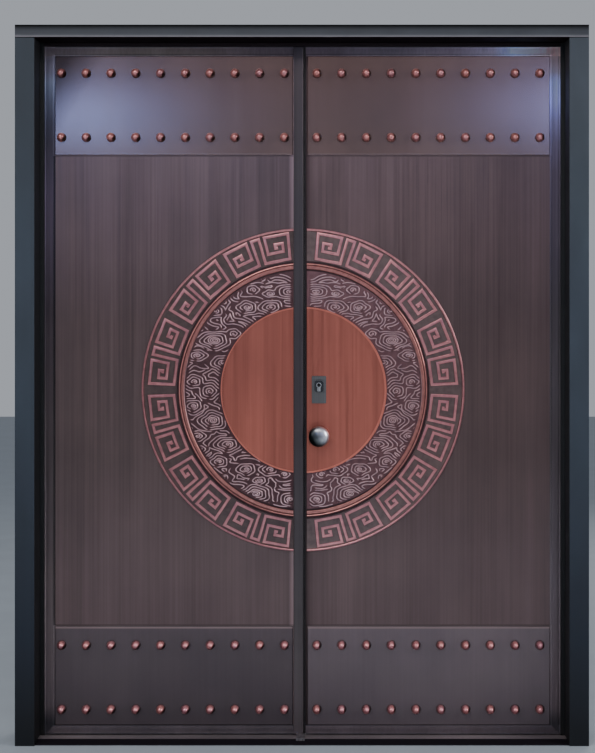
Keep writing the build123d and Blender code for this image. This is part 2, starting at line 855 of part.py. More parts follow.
with BuildPart() as latch:
    with BuildSketch(Plane.XY.offset(knob_z - latch_height / 2)):
        with BuildLine():
            half = latch_width / 2
            Polyline(
                (seam_right + latch_clearance, leaf_middle - half),
                (seam_right + latch_length, leaf_middle - half),
                (seam_right + latch_length, leaf_middle + half),
                (seam_right + latch_bevel, leaf_middle + half),
                close=True,
            )
        make_face()
    extrude(amount=latch_height)
write(latch, "latch")

with BuildPart() as deadbolts:
    for i in range(deadbolt_count):
        with BuildSketch(Plane.YZ.offset(seam_right + bolt_clearance)):
            with Locations((leaf_middle, deadbolt_low_z + i * deadbolt_pitch)):
                Circle(deadbolt_radius)
        extrude(amount=deadbolt_length)
    with BuildSketch(Plane.YZ.offset(seam_right + deadbolt_length)):
        bar_top = deadbolt_low_z + (deadbolt_count - 1) * deadbolt_pitch + deadbolt_radius
        half = case_half - lock_case_wall - bolt_clearance
        span(leaf_middle - half, leaf_middle + half, deadbolt_low_z - deadbolt_radius, bar_top)
    extrude(amount=deadbolt_bar)
write(deadbolts, "deadbolts")

# Lock cylinder, its plug and its plates
cylinder_front = plate_seats["outside"][0] - plate_thickness - boss_rise - cylinder_proud
cylinder_back = leaf_back + plate_thickness + cylinder_proud
with BuildPart() as cylinder:
    with BuildSketch(facing(cylinder_front)):
        euro_profile(0)
        with Locations((lock_axis_x, cylinder_z)):
            Circle(plug_radius + plug_clearance, mode=Mode.SUBTRACT)
    extrude(amount=cylinder_front - cylinder_back)
write(cylinder, "lock_cylinder")

with BuildPart() as plug:
    with BuildSketch(facing(cylinder_front)):
        with Locations((lock_axis_x, cylinder_z)):
            Circle(plug_radius)
    extrude(amount=cylinder_front - cylinder_back)
    with BuildSketch(facing(cylinder_front)):
        with Locations((lock_axis_x, cylinder_z)):
            Rectangle(key_slot_width, key_slot_height)
    extrude(amount=-key_slot_depth, mode=Mode.SUBTRACT)
write(plug, "cylinder_plug")

with BuildPart() as thumb_turn:
    with BuildSketch(facing(cylinder_back)):
        with Locations((lock_axis_x, cylinder_z)):
            RectangleRounded(thumb_width, thumb_height, thumb_radius)
    extrude(amount=-thumb_length)
write(thumb_turn, "thumb_turn")

for place, (y_seat, out) in plate_seats.items():
    with BuildPart() as lock_plate:
        with BuildSketch(facing(y_seat)):
            with Locations((lock_axis_x, plate_centre_z)):
                RectangleRounded(plate_width, plate_height, plate_radius)
            euro_profile(cylinder_clearance, Mode.SUBTRACT)
        extrude(amount=-out * plate_thickness)
    write(lock_plate, f"{place}_lock_plate")

with BuildPart() as cylinder_guard:
    with BuildSketch(facing(plate_seats["outside"][0] - plate_thickness)):
        with Locations((lock_axis_x, boss_centre_z)):
            RectangleRounded(boss_width, boss_height, boss_radius)
        euro_profile(cylinder_clearance, Mode.SUBTRACT)
    extrude(amount=boss_rise)
write(cylinder_guard, "cylinder_guard")

# Knobs on both sides, turning on one square spindle
rose_bore = spindle_side / 2 + spindle_clearance
knob_axis = Axis((lock_axis_x, 0, knob_z), (0, 1, 0))
crown_rise = knob_head_length - knob_edge
crown_points = [
    (knob_radius * cos(i * pi / 2 / crown_steps), crown_rise * sin(i * pi / 2 / crown_steps))
    for i in range(1, crown_steps + 1)
]
for place, (y_seat, out) in plate_seats.items():
    y_rose = y_seat + out * rose_thickness
    with BuildPart() as rose:
        with BuildSketch(Plane.XY.offset(knob_z)):
            with BuildLine():
                Polyline(
                    (lock_axis_x + rose_bore, y_seat),
                    (lock_axis_x + rose_radius, y_seat),
                    (lock_axis_x + rose_radius, y_seat + out * rose_thickness / 2),
                    (lock_axis_x + rose_radius - rose_thickness, y_rose),
                    (lock_axis_x + rose_bore, y_rose),
                    close=True,
                )
            make_face()
        revolve(axis=knob_axis, revolution_arc=360)
    write(rose, f"{place}_rose")

    y_neck = y_rose + out * knob_gap
    y_head = y_neck + out * knob_neck_length
    y_edge = y_head + out * knob_edge
    with BuildPart() as knob:
        with BuildSketch(Plane.XY.offset(knob_z)):
            with BuildLine():
                Polyline(
                    (lock_axis_x, y_neck),
                    (lock_axis_x + knob_neck_radius, y_neck),
                    (lock_axis_x + knob_neck_radius, y_head),
                    (lock_axis_x + knob_radius, y_edge),
                    *[(lock_axis_x + x, y_edge + out * rise) for x, rise in crown_points],
                    close=True,
                )
            make_face()
        revolve(axis=knob_axis, revolution_arc=360)
    write(knob, f"{place}_knob")

with BuildPart() as spindle:
    spindle_start = plate_seats["outside"][0] - rose_thickness - knob_gap
    spindle_end = leaf_back + rose_thickness + knob_gap
    with BuildSketch(facing(spindle_start)):
        with Locations((lock_axis_x, knob_z)):
            Rectangle(spindle_side, spindle_side)
    extrude(amount=spindle_start - spindle_end)
write(spindle, "spindle")

with BuildPart() as follower:
    with BuildSketch(facing(leaf_middle - follower_length / 2)):
        with Locations((lock_axis_x, knob_z)):
            Circle(follower_radius)
            Rectangle(spindle_side, spindle_side, mode=Mode.SUBTRACT)
    extrude(amount=-follower_length)
write(follower, "follower")
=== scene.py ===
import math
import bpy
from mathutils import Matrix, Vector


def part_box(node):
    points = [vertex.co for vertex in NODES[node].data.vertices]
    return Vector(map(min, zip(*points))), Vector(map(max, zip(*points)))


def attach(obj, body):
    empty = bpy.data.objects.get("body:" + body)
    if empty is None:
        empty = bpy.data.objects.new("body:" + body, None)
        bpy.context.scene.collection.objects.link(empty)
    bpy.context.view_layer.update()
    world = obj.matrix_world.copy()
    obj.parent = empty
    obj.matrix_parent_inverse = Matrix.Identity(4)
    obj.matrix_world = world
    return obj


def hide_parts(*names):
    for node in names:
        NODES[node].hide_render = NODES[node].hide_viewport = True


bl_info = {
    "name": "Double Security Door",
    "version": (1, 0, 0),
    "blender": (4, 5, 0),
    "location": "View3D > Sidebar > Door",
    "description": "Finishes and fine relief of a bronze double entrance door with its frame",
    "category": "Object",
}

import bmesh
import bpy
import numpy as np
from mathutils import Vector

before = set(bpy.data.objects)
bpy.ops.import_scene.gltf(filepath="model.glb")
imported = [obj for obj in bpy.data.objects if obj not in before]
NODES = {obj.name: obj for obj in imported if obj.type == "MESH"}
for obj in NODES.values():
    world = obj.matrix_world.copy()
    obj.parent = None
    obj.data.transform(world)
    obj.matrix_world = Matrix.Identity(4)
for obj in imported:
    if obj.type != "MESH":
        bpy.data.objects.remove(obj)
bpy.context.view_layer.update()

MM = 0.001
SIDES = {"left": -1, "right": 1}

# How much taller than wide the rings are, the angle from which edges stay sharp, the gap between the lips
RING_STRETCH = 0.01
SHARP_ANGLE = math.radians(32)
LIP_PARTING = 0.06 * MM

# The middle of the medallion, and the two cut edges of its halves, from the middle
DISC_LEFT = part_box("disc_left")
DISC_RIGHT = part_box("disc_right")
MEDALLION_Z = (DISC_LEFT[0].z + DISC_LEFT[1].z) / 2
DISC_RADIUS = (DISC_LEFT[1].z - DISC_LEFT[0].z) / 2
MEDALLION_X = DISC_LEFT[0].x + DISC_RADIUS
CUT = {"left": MEDALLION_X - DISC_LEFT[1].x, "right": DISC_RIGHT[0].x - MEDALLION_X}
FRET_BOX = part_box("fret_ring_left")
FRET_RADIUS = (FRET_BOX[1].z - FRET_BOX[0].z) / 2
PANEL_Y = FRET_BOX[1].y
CREST_Y = FRET_BOX[0].y

# One mirrored pair of key scrolls: degrees off its link's middle, millimetres from the medallion's middle.
# Then the links' middles, in degrees from the top
FRET_PATH = [
    (7.9, 485.5), (6.9, 485.5), (6.9, 498.0), (9.9, 498.0), (9.9, 471.0), (3.5, 471.0), (3.5, 528.5),
    (12.3, 528.5), (12.3, 443.5), (1.4, 443.5), (1.4, 528.5),
]
FRET_LINKS = (17.9, 46.6, 75.3, 104.7, 133.4, 162.1)

# Clouds of the left half: across and up from the middle, half width, half height, kind of lobes
HEADS = [
    (-42, 334, 51, 25, 0), (-108, 281, 38, 24, 1), (-191, 281, 31, 21, 2), (-170, 340, 20, 15, 0),
    (-142, 378, 14, 9, 1), (-112, 327, 22, 12, 2), (-236, 191, 22, 17, 0), (-301, 168, 55, 32, 1),
    (-299, 268, 24, 16, 2), (-359, 117, 33, 19, 0), (-274, 92, 34, 26, 1), (-370, 28, 31, 23, 2),
    (-318, -4, 32, 28, 0), (-374, -55, 28, 20, 1), (-306, -104, 44, 33, 2), (-359, -157, 27, 18, 0),
    (-255, -185, 42, 25, 1), (-284, -244, 26, 19, 2), (-350, -202, 17, 12, 0), (-193, -270, 30, 20, 1),
    (-112, -270, 33, 23, 2), (-63, -287, 17, 12, 0), (-148, -308, 20, 12, 1), (-161, -353, 48, 29, 2),
    (-44, -372, 30, 22, 0), (-268, -299, 13, 10, 1),
]

# Wavy tails between the clouds, in the same measure
TAILS = [
    [(-145, 377), (-127, 379), (-112, 367), (-94, 374), (-64, 370), (-37, 353)],
    [(-131, 359), (-107, 365), (-82, 363), (-62, 365), (-30, 353)],
    [(-213, 349), (-188, 357), (-154, 365), (-131, 361)],
    [
        (-215, 343), (-207, 332), (-213, 319), (-190, 317), (-166, 318), (-143, 312), (-123, 302),
        (-102, 308), (-82, 296), (-63, 286), (-33, 284),
    ],
    [
        (-248, 324), (-244, 308), (-228, 300), (-205, 300), (-182, 300), (-151, 297), (-135, 289),
        (-143, 270),
    ],
    [(-244, 287), (-252, 273), (-240, 265), (-233, 246), (-205, 240), (-186, 232), (-176, 226)],
    [(-267, 261), (-260, 254), (-270, 238), (-260, 224), (-233, 224), (-209, 217), (-201, 209)],
    [(-322, 246), (-326, 230), (-307, 218), (-287, 213), (-299, 203)],
    [
        (-342, 222), (-322, 203), (-307, 191), (-287, 193), (-268, 187), (-248, 172), (-248, 156),
        (-268, 148),
    ],
    [(-385, 150), (-373, 143), (-362, 150), (-345, 147), (-334, 138)],
    [(-330, 138), (-310, 132), (-290, 137), (-268, 130), (-252, 138)],
    [(-389, 66), (-369, 82), (-346, 74), (-322, 74), (-338, 90)],
    [(-391, 55), (-373, 66), (-350, 62), (-330, 70)],
    [(-369, -9), (-353, -25), (-342, -41)],
    [(-326, -43), (-307, -52), (-287, -60), (-287, -72), (-307, -76)],
    [(-383, -111), (-369, -123), (-354, -134), (-330, -140), (-307, -142)],
    [(-287, -123), (-283, -138), (-260, -140), (-248, -150)],
    [(-264, -232), (-244, -236), (-248, -247), (-205, -251), (-174, -251), (-143, -257)],
    [(-217, -236), (-193, -232), (-162, -236), (-143, -247)],
    [(-322, -251), (-303, -263), (-283, -279), (-268, -290), (-275, -306)],
    [(-244, -263), (-252, -279), (-233, -294), (-240, -310), (-213, -312), (-193, -318), (-182, -329)],
    [(-88, -337), (-64, -341), (-37, -341)],
    [(-84, -322), (-68, -335), (-37, -333)],
    [(-104, -388), (-72, -396), (-37, -396)],
    [(-96, -300), (-84, -310), (-60, -312), (-37, -306)],
]

# Carved lines of the clouds, in millimetres: their pitch, the grid they are found on, how softly they meet,
# the steps along them and along the tails, how many run inside and outside each outline, how far they reach
# from the middle and toward the seam, the clip of the levels, how far tails keep off the heads, and the
# fewest points of a level's line, of a tail and of a carved stretch
LINE_PITCH = 9.6
GRID_STEP = 2.4
BLEND = 2.2
LINE_STEP = 4.2
TAIL_STEP = 8.0
HEAD_LINES = 3
OUTER_LINES = 2
CLOUD_REACH = 412
SEAM_REACH = 20
LEVEL_CLIP = 60
TAIL_CLEARANCE = 3
LEVEL_POINTS = 7
TAIL_POINTS = 4
STRETCH_POINTS = 3

# The clouds' outline: depth of its five and of its three lobes, length of the point on its left
FIVE_LOBES = 0.07
THREE_LOBES = 0.05
POINT = 0.16

# The curl in each cloud: room and gap to the lines round it, pitch, facets a turn, share at its start
CURL_ROOM = 7
CURL_GAP = 4.5
CURL_PITCH = 6.2
CURL_STEPS = 12
CURL_START = 0.08

# Smallest cosine of half a turn that is mitred in full, and share of its width that a tapered bar ends with
MITRE_LIMIT = 0.45
TIP = 0.35

# Sections of a flat bar and of a rounded line: across and up, as shares of half the width and of the rise
FLAT_BAR = [(-1.0, -0.1), (-0.80, 0.66), (-0.46, 1.0), (0.46, 1.0), (0.80, 0.66), (1.0, -0.1)]
ROUND_LINE = [(-1.0, -0.15), (-0.78, 0.55), (-0.3, 0.95), (0.3, 0.95), (0.78, 0.55), (1.0, -0.15)]

# Radii in the medallion: inside of the key pattern's plate, edge of the clouds' plate, foot of the band
# round the clouds, outer end of the clouds, where the band's colour begins; then the width of the round rim
FRET_INNER = 434.5 * MM
CLOUD_OUTER = 434 * MM
BAND_FOOT = 406 * MM
CLOUD_END = 403 * MM
BAND_SPLIT = 404.5 * MM
RIM = 20 * MM

# Studs: how many in a row, their radius, and their profile as shares of radius and rise
STUD_COUNT = 10
STUD_RADIUS = 16 * MM
STUD_PROFILE = [
    (1.0, -0.02), (1.0, 0.05), (0.96, 0.09), (0.93, 0.11), (0.94, 0.28), (0.90, 0.46), (0.80, 0.66),
    (0.62, 0.84), (0.36, 0.96), (0.12, 1.0),
]

# Knob: length of its neck, and its head as shares of its length and radius; bore of the roses
NECK = 17 * MM
KNOB_HEAD = [
    (0.0, 0.37), (0.0, 0.62), (0.03, 0.76), (0.09, 0.90), (0.19, 0.975), (0.34, 1.0), (0.46, 0.985),
    (0.58, 0.945), (0.70, 0.87), (0.81, 0.76), (0.89, 0.62), (0.95, 0.45), (0.985, 0.26), (1.0, 0.06),
]
ROSE_BORE = 13.6 * MM

# Rounded nose of the lips in the seam: shares of their reach and thickness
LIP_NOSE = [
    (0.0, 0.0), (0.55, 0.0), (0.80, 0.10), (0.95, 0.28), (1.0, 0.5), (0.95, 0.72), (0.80, 0.90),
    (0.55, 1.0), (0.0, 1.0),
]


class DoorStageSettings(bpy.types.PropertyGroup):
    eye_height: bpy.props.FloatProperty(
        name="Eye height", description="Height of the camera over the floor", default=1.494, unit="LENGTH",
    )
    eye_distance: bpy.props.FloatProperty(
        name="Eye distance", description="Distance from the camera to the middle of the frame",
        default=5.582, unit="LENGTH",
    )
    eye_across: bpy.props.FloatProperty(
        name="Eye across", description="How far the camera stands to the right of the middle",
        default=0.085, unit="LENGTH",
    )
    lens: bpy.props.FloatProperty(name="Lens", description="Focal length in millimetres", default=78.8)
    shift_x: bpy.props.FloatProperty(
        name="Shift across", description="Sideways shift of the picture", default=-0.0398,
    )
    shift_y: bpy.props.FloatProperty(
        name="Shift up", description="Upright shift of the picture", default=-0.1056,
    )
    floor_size: bpy.props.FloatProperty(
        name="Floor size", description="Side of the floor", default=30.0, unit="LENGTH",
    )
    floor_colour: bpy.props.FloatVectorProperty(
        name="Floor colour", description="Colour of the floor", subtype="COLOR", size=3,
        default=(0.30, 0.333, 0.365),
    )
    sky_colour: bpy.props.FloatVectorProperty(
        name="Sky colour", description="Colour of the light from all round", subtype="COLOR", size=3,
        default=(0.74, 0.78, 0.86),
    )
    sky_strength: bpy.props.FloatProperty(
        name="Sky strength", description="Strength of the light from all round", default=0.50, min=0.0,
    )
    key_power: bpy.props.FloatProperty(
        name="Main light", description="Power of the light over the door, in watts", default=126.0, min=0.0,
    )
    corner_power: bpy.props.FloatProperty(
        name="Corner lights",
        description="Power of the cool lights that shine in the upper corners, in watts", default=22.5,
        min=0.0,
    )
    fill_power: bpy.props.FloatProperty(
        name="Side lights", description="Power of the lights from the sides, in watts", default=45.0,
        min=0.0,
    )
    floor_power: bpy.props.FloatProperty(
        name="Floor light", description="Power of the light over the floor in front, in watts",
        default=138.0, min=0.0,
    )


class DoorFinishSettings(bpy.types.PropertyGroup):
    bronze_dark: bpy.props.FloatVectorProperty(
        name="Bronze, dark", description="Darkest streaks of the brushed bronze", subtype="COLOR", size=3,
        default=(0.067, 0.0455, 0.0445),
    )
    bronze_light: bpy.props.FloatVectorProperty(
        name="Bronze, light", description="Lightest streaks of the brushed bronze", subtype="COLOR", size=3,
        default=(0.119, 0.082, 0.080),
    )
    paint: bpy.props.FloatVectorProperty(
        name="Frame paint", description="Slate blue paint of the frame", subtype="COLOR", size=3,
        default=(0.0247, 0.0335, 0.0455),
    )
    head_paint: bpy.props.FloatVectorProperty(
        name="Head paint", description="Slightly warmer paint of the head", subtype="COLOR", size=3,
        default=(0.031, 0.034, 0.041),
    )
    copper_dark: bpy.props.FloatVectorProperty(
        name="Copper, dark", description="Worn red of the carved bars' sides", subtype="COLOR", size=3,
        default=(0.15, 0.062, 0.064),
    )
    copper_light: bpy.props.FloatVectorProperty(
        name="Copper, light", description="Wiped copper on the carved bars' tops", subtype="COLOR", size=3,
        default=(0.405, 0.172, 0.177),
    )
    patina: bpy.props.FloatVectorProperty(
        name="Patina", description="Dark grey green ground between the carved bars", subtype="COLOR",
        size=3, default=(0.072, 0.052, 0.050),
    )
    disc: bpy.props.FloatVectorProperty(
        name="Disc copper", description="Brushed copper of the plain disc", subtype="COLOR", size=3,
        default=(0.345, 0.105, 0.076),
    )
    cloud_light: bpy.props.FloatVectorProperty(
        name="Clouds, light", description="Rubbed tops of the cloud lines", subtype="COLOR", size=3,
        default=(0.62, 0.42, 0.44),
    )
    cloud_dark: bpy.props.FloatVectorProperty(
        name="Clouds, dark", description="Plum ground between the cloud lines", subtype="COLOR", size=3,
        default=(0.070, 0.036, 0.040),
    )
    stud: bpy.props.FloatVectorProperty(
        name="Stud copper", description="Copper of the domed studs", subtype="COLOR", size=3,
        default=(0.50, 0.20, 0.195),
    )


class DoorReliefSettings(bpy.types.PropertyGroup):
    bar_width: bpy.props.FloatProperty(
        name="Bar width", description="Width of the key pattern's bars", default=11.6 * MM, unit="LENGTH",
    )
    line_width: bpy.props.FloatProperty(
        name="Cloud line width", description="Width of the cloud lines at their foot", default=5.6 * MM,
        unit="LENGTH",
    )
    line_rise: bpy.props.FloatProperty(
        name="Cloud line rise", description="Height of the cloud lines over their ground", default=2.6 * MM,
        unit="LENGTH",
    )
    ground_depth: bpy.props.FloatProperty(
        name="Ground", description="Thickness of the plate that carries the relief", default=2.5 * MM,
        unit="LENGTH",
    )
    ring_steps: bpy.props.IntProperty(
        name="Ring steps", description="Facets along each half ring", default=120, min=24,
    )
    stud_steps: bpy.props.IntProperty(
        name="Stud steps", description="Facets round a stud", default=22, min=8,
    )
    knob_steps: bpy.props.IntProperty(
        name="Knob steps", description="Facets round a knob", default=56, min=12,
    )


class Shell:
    """Points and faces that become one piece."""

    def __init__(self):
        self.points = []
        self.faces = []

    def add_loops(self, loops, closed=False):
        """Joins equal closed loops of points one after the other, with caps on the open ends."""
        start = len(self.points)
        size = len(loops[0])
        for loop in loops:
            self.points.extend(loop)
        count = len(loops)
        for i in range(count if closed else count - 1):
            here = start + i * size
            there = start + ((i + 1) % count) * size
            for k in range(size):
                following = (k + 1) % size
                self.faces.append((here + k, here + following, there + following, there + k))
        if not closed:
            self.faces.append(tuple(range(start + size - 1, start - 1, -1)))
            self.faces.append(tuple(start + (count - 1) * size + k for k in range(size)))

    def piece(self, name, body, material, slot, *replaced):
        """Makes the piece, which rides on a body and takes the place of CAD nodes."""
        mesh = bpy.data.meshes.new(name)
        mesh.from_pydata(self.points, [], self.faces)
        work = bmesh.new()
        work.from_mesh(mesh)
        bmesh.ops.recalc_face_normals(work, faces=work.faces)
        work.to_mesh(mesh)
        work.free()
        mesh.materials.append(material)
        mesh.polygons.foreach_set("use_smooth", [True] * len(mesh.polygons))
        mesh.set_sharp_from_angle(angle=SHARP_ANGLE)
        item = bpy.data.objects.new(name, mesh)
        bpy.context.scene.collection.objects.link(item)
        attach(item, body)
        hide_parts(*replaced)
        return item


def direction(a, b):
    """The way from one flat point to another, one unit long."""
    x, z = b[0] - a[0], b[1] - a[1]
    length = math.hypot(x, z) or 1.0
    return x / length, z / length


def swept_loops(path, width, rise, ground, profile, taper=0):
    """Loops of a bar that follows a flat path on the door's face; its corners are mitred."""
    loops = []
    last = len(path) - 1
    for i, (x, z) in enumerate(path):
        before = direction(path[max(i - 1, 0)], path[max(i, 1)])
        after = direction(path[min(i, last - 1)], path[min(i + 1, last)])
        across = (-before[1] - after[1], before[0] + after[0])
        length = math.hypot(*across) or 1.0
        across = (across[0] / length, across[1] / length)
        cosine = across[0] * -after[1] + across[1] * after[0]
        half = width / 2 / max(cosine, MITRE_LIMIT)
        ease = min(1.0, TIP + (1 - TIP) * min(i, last - i) / taper) if taper else 1.0
        loops.append([
            (x + across[0] * u * half * ease, ground - v * rise * ease, z + across[1] * u * half * ease)
            for u, v in profile
        ])
    return loops


def half_ring_loops(side, section, steps, round_from=math.inf):
    """Loops of a half ring cut straight at the seam; section holds (radius, y) corners.

    Corners beyond round_from stay round, the others are stretched.
    """
    gap = CUT[side]
    loops = []
    for i in range(steps + 1):
        loop = []
        for radius, y in section:
            first = math.asin(gap / radius)
            angle = first + (math.pi - 2 * first) * i / steps
            if radius <= round_from:
                radius *= 1 + RING_STRETCH * math.cos(2 * angle)
            x = MEDALLION_X + SIDES[side] * radius * math.sin(angle)
            loop.append((x, y, MEDALLION_Z + radius * math.cos(angle)))
        loops.append(loop)
    return loops


def lathe_loops(centre, profile, steps, facing=-1):
    """Loops of a turned piece whose axis is along y; profile holds (radius, distance out)."""
    x, y, z = centre
    turns = [2 * math.pi * k / steps for k in range(steps)]
    return [
        [(x + radius * math.cos(turn), y + facing * out, z + radius * math.sin(turn)) for turn in turns]
        for radius, out in profile
    ]


def smooth_line(points, step):
    """Points along a smooth line through the given ones, about one step apart."""
    line = []
    count = len(points)
    for i in range(count - 1):
        p0 = points[max(i - 1, 0)]
        p1, p2 = points[i], points[i + 1]
        p3 = points[min(i + 2, count - 1)]
        parts = max(2, round(math.dist(p1, p2) / step))
        for k in range(parts):
            t = k / parts
            line.append(tuple(
                0.5 * (2 * p1[n] + (p2[n] - p0[n]) * t + (2 * p0[n] - 5 * p1[n] + 4 * p2[n] - p3[n]) * t ** 2
                       + (3 * p1[n] - p0[n] - 3 * p2[n] + p3[n]) * t ** 3)
                for n in (0, 1)
            ))
    line.append(tuple(points[-1]))
    return line


def blended(levels):
    """The nearest of several levels, rounded where they meet."""
    total = sum(np.exp(-np.clip(level, -LEVEL_CLIP, LEVEL_CLIP) / BLEND) for level in levels)
    return -BLEND * np.log(total + 1e-12)


def head_levels(across, up):
    """How far each place lies outside the nearest cloud's outline, in millimetres."""
    levels = []
    for x, z, half_width, half_height, kind in HEADS:
        right, high = (across - x) / half_width, (up - z) / half_height
        turn = np.arctan2(high, right)
        lobes = 1 + FIVE_LOBES * np.cos(5 * turn + 1.7 * kind) + THREE_LOBES * np.cos(3 * turn - 2.3 * kind)
        lobes = lobes + POINT * np.maximum(0, np.cos(turn - math.pi)) ** 8
        levels.append((np.hypot(right, high) / lobes - 1) * math.sqrt(half_width * half_height))
    return blended(levels)


def tail_levels(across, up):
    """How far each place lies from the nearest tail, in millimetres."""
    nearest = np.full(across.shape, 1e3)
    for tail in TAILS:
        line = smooth_line(tail, TAIL_STEP)
        for (x0, z0), (x1, z1) in zip(line, line[1:]):
            dx, dz = x1 - x0, z1 - z0
            t = np.clip(((across - x0) * dx + (up - z0) * dz) / (dx * dx + dz * dz), 0, 1)
            nearest = np.minimum(nearest, np.hypot(across - x0 - t * dx, up - z0 - t * dz))
    return nearest


def level_lines(values, level, xs, zs):
    """Lines along which the values of a grid equal one level."""
    links = {}
    places = {}
    above = values > level

    def crossing(i, j, i2, j2):
        key = (i, j, i2, j2)
        if key not in places:
            a, b = values[i, j], values[i2, j2]
            t = (level - a) / (b - a)
            places[key] = (xs[j] + t * (xs[j2] - xs[j]), zs[i] + t * (zs[i2] - zs[i]))
        return key

    corner = above[:-1, :-1]
    crossed = (corner != above[1:, :-1]) | (corner != above[:-1, 1:]) | (corner != above[1:, 1:])
    for i, j in zip(*np.nonzero(crossed)):
        i, j = int(i), int(j)
        edges = ((i, j, i, j + 1), (i, j + 1, i + 1, j + 1), (i + 1, j, i + 1, j + 1), (i, j, i + 1, j))
        cuts = [crossing(*edge) for edge in edges if above[edge[:2]] != above[edge[2:]]]
        for a, b in zip(cuts[::2], cuts[1::2]):
            links.setdefault(a, []).append(b)
            links.setdefault(b, []).append(a)
    lines = []
    seen = set()
    for start in sorted(links, key=lambda key: len(links[key])):
        if start in seen:
            continue
        chain = [start]
        seen.add(start)
        while True:
            onward = [key for key in links[chain[-1]] if key not in seen]
            if not onward:
                break
            chain.append(onward[0])
            seen.add(onward[0])
        if chain[0] in links[chain[-1]] and len(chain) > 3:
            chain.append(chain[0])
        lines.append([places[key] for key in chain])
    return lines


def evened(line, step):
    """The same line with its points one step apart and its ripples smoothed."""
    for _ in range(2):
        soft = [
            ((a[0] + 2 * b[0] + c[0]) / 4, (a[1] + 2 * b[1] + c[1]) / 4)
            for a, b, c in zip(line, line[1:], line[2:])
        ]
        line = [line[0], *soft, line[-1]]
    total = sum(math.dist(a, b) for a, b in zip(line, line[1:]))
    count = max(2, round(total / step))
    even = [line[0]]
    walked, target = 0.0, total / count
    for a, b in zip(line, line[1:]):
        size = math.dist(a, b)
        while size > 0 and walked + size >= target - 1e-9 and len(even) < count:
            t = (target - walked) / size
            even.append((a[0] + (b[0] - a[0]) * t, a[1] + (b[1] - a[1]) * t))
            target += total / count
        walked += size
    even.append(line[-1])
    return even


def spiral(x, z, reach_x, reach_z, kind):
    """The curl in the middle of a cloud; clouds of kind 1 curl the other way."""
    turns = max(1.0, math.sqrt(reach_x * reach_z) / CURL_PITCH)
    steps = round(turns * CURL_STEPS)
    line = []
    for i in range(steps + 1):
        share = i / steps
        angle = 2 * math.pi * turns * share * (1 if kind != 1 else -1) + kind
        size = CURL_START + (1 - CURL_START) * share
        line.append((x + size * reach_x * math.cos(angle), z + size * reach_z * math.sin(angle)))
    return line


def cloud_lines():
    """All lines of the left half's clouds: across and up from the medallion's middle, in millimetres."""
    xs = np.arange(-CLOUD_REACH, -SEAM_REACH, GRID_STEP)
    zs = np.arange(-CLOUD_REACH, CLOUD_REACH, GRID_STEP)
    across, up = np.meshgrid(xs, zs)
    heads = head_levels(across, up)
    both = blended([heads, tail_levels(across, up)])
    lines = []
    for k in range(HEAD_LINES):
        lines += level_lines(heads, -k * LINE_PITCH, xs, zs)
    for k in range(1, OUTER_LINES + 1):
        lines += level_lines(both, k * LINE_PITCH, xs, zs)
    lines = [evened(line, LINE_STEP) for line in lines if len(line) >= LEVEL_POINTS]
    for tail in TAILS:
        run = []
        for x, z in smooth_line(tail, LINE_STEP):
            if head_levels(np.array([float(x)]), np.array([float(z)]))[0] > TAIL_CLEARANCE:
                run.append((x, z))
            else:
                if len(run) >= TAIL_POINTS:
                    lines.append(run)
                run = []
        if len(run) >= TAIL_POINTS:
            lines.append(run)
    for x, z, half_width, half_height, kind in HEADS:
        size = math.sqrt(half_width * half_height)
        rings = min(int((size - CURL_ROOM) // LINE_PITCH), HEAD_LINES - 1)
        share = (size - rings * LINE_PITCH - CURL_GAP) / size
        lines.append(spiral(x, z, half_width * share, half_height * share, kind))
    return lines


def grey(value):
    return (value, value, value)


def scaled(colour, factor):
    return tuple(channel * factor for channel in colour)


def tinted(colour, tint):
    return tuple(channel * factor for channel, factor in zip(colour, tint))


# How far the tables of shades (millimetres), heights (metres) and tints (brightness) reach
SHADE_SPAN = 40.0
HEIGHT_SPAN = 2.4
TINT_SPAN = 30.0

# Half the width of a hard edge between two colours
EDGE = 0.5 * MM

# Noises: their roughness, bumps a metre along fine and broad streaks, how much slower clouds change along the
# grain, and the grids and tints of blotches, orange peel and dust
NOISE_ROUGHNESS = 0.55
GRAIN_ALONG = (1.2, 2.5)
CLOUD_LENGTH = 0.14
BLOTCH_GRID = (3.0, 3.0, 2.2)
PEEL_GRID = (420.0, 420.0, 420.0)
DUST_GRID = (7.0, 7.0, 3.0)
BLOTCH_TINTS = ((0.3, (0.86, 0.86, 0.88)), (0.7, (1.10, 1.08, 1.07)))

# Strength of the thin painted lines; the black on the threshold's front and the depth in front of which it
# lies;
# the knob's painted shading, shade on its left and a highlight on its upper right
PAINTED_LINE_STRENGTH = 0.8
THRESHOLD_BLACK = (0.011, 0.009, 0.012)
THRESHOLD_BLACK_DEPTH = -0.0371
KNOB_SHADING_SLOPE = (0.9, 0.0, 0.43)
KNOB_PAINTED_SHADING = (
    (0.20, (0.008, 0.01, 0.01)), (0.42, (0.12, 0.13, 0.13)), (0.64, (0.42, 0.43, 0.43)), (0.88, grey(1.1)),
)
KNOB_HIGHLIGHT_GAIN = (2.7, 2.7, 2.75)

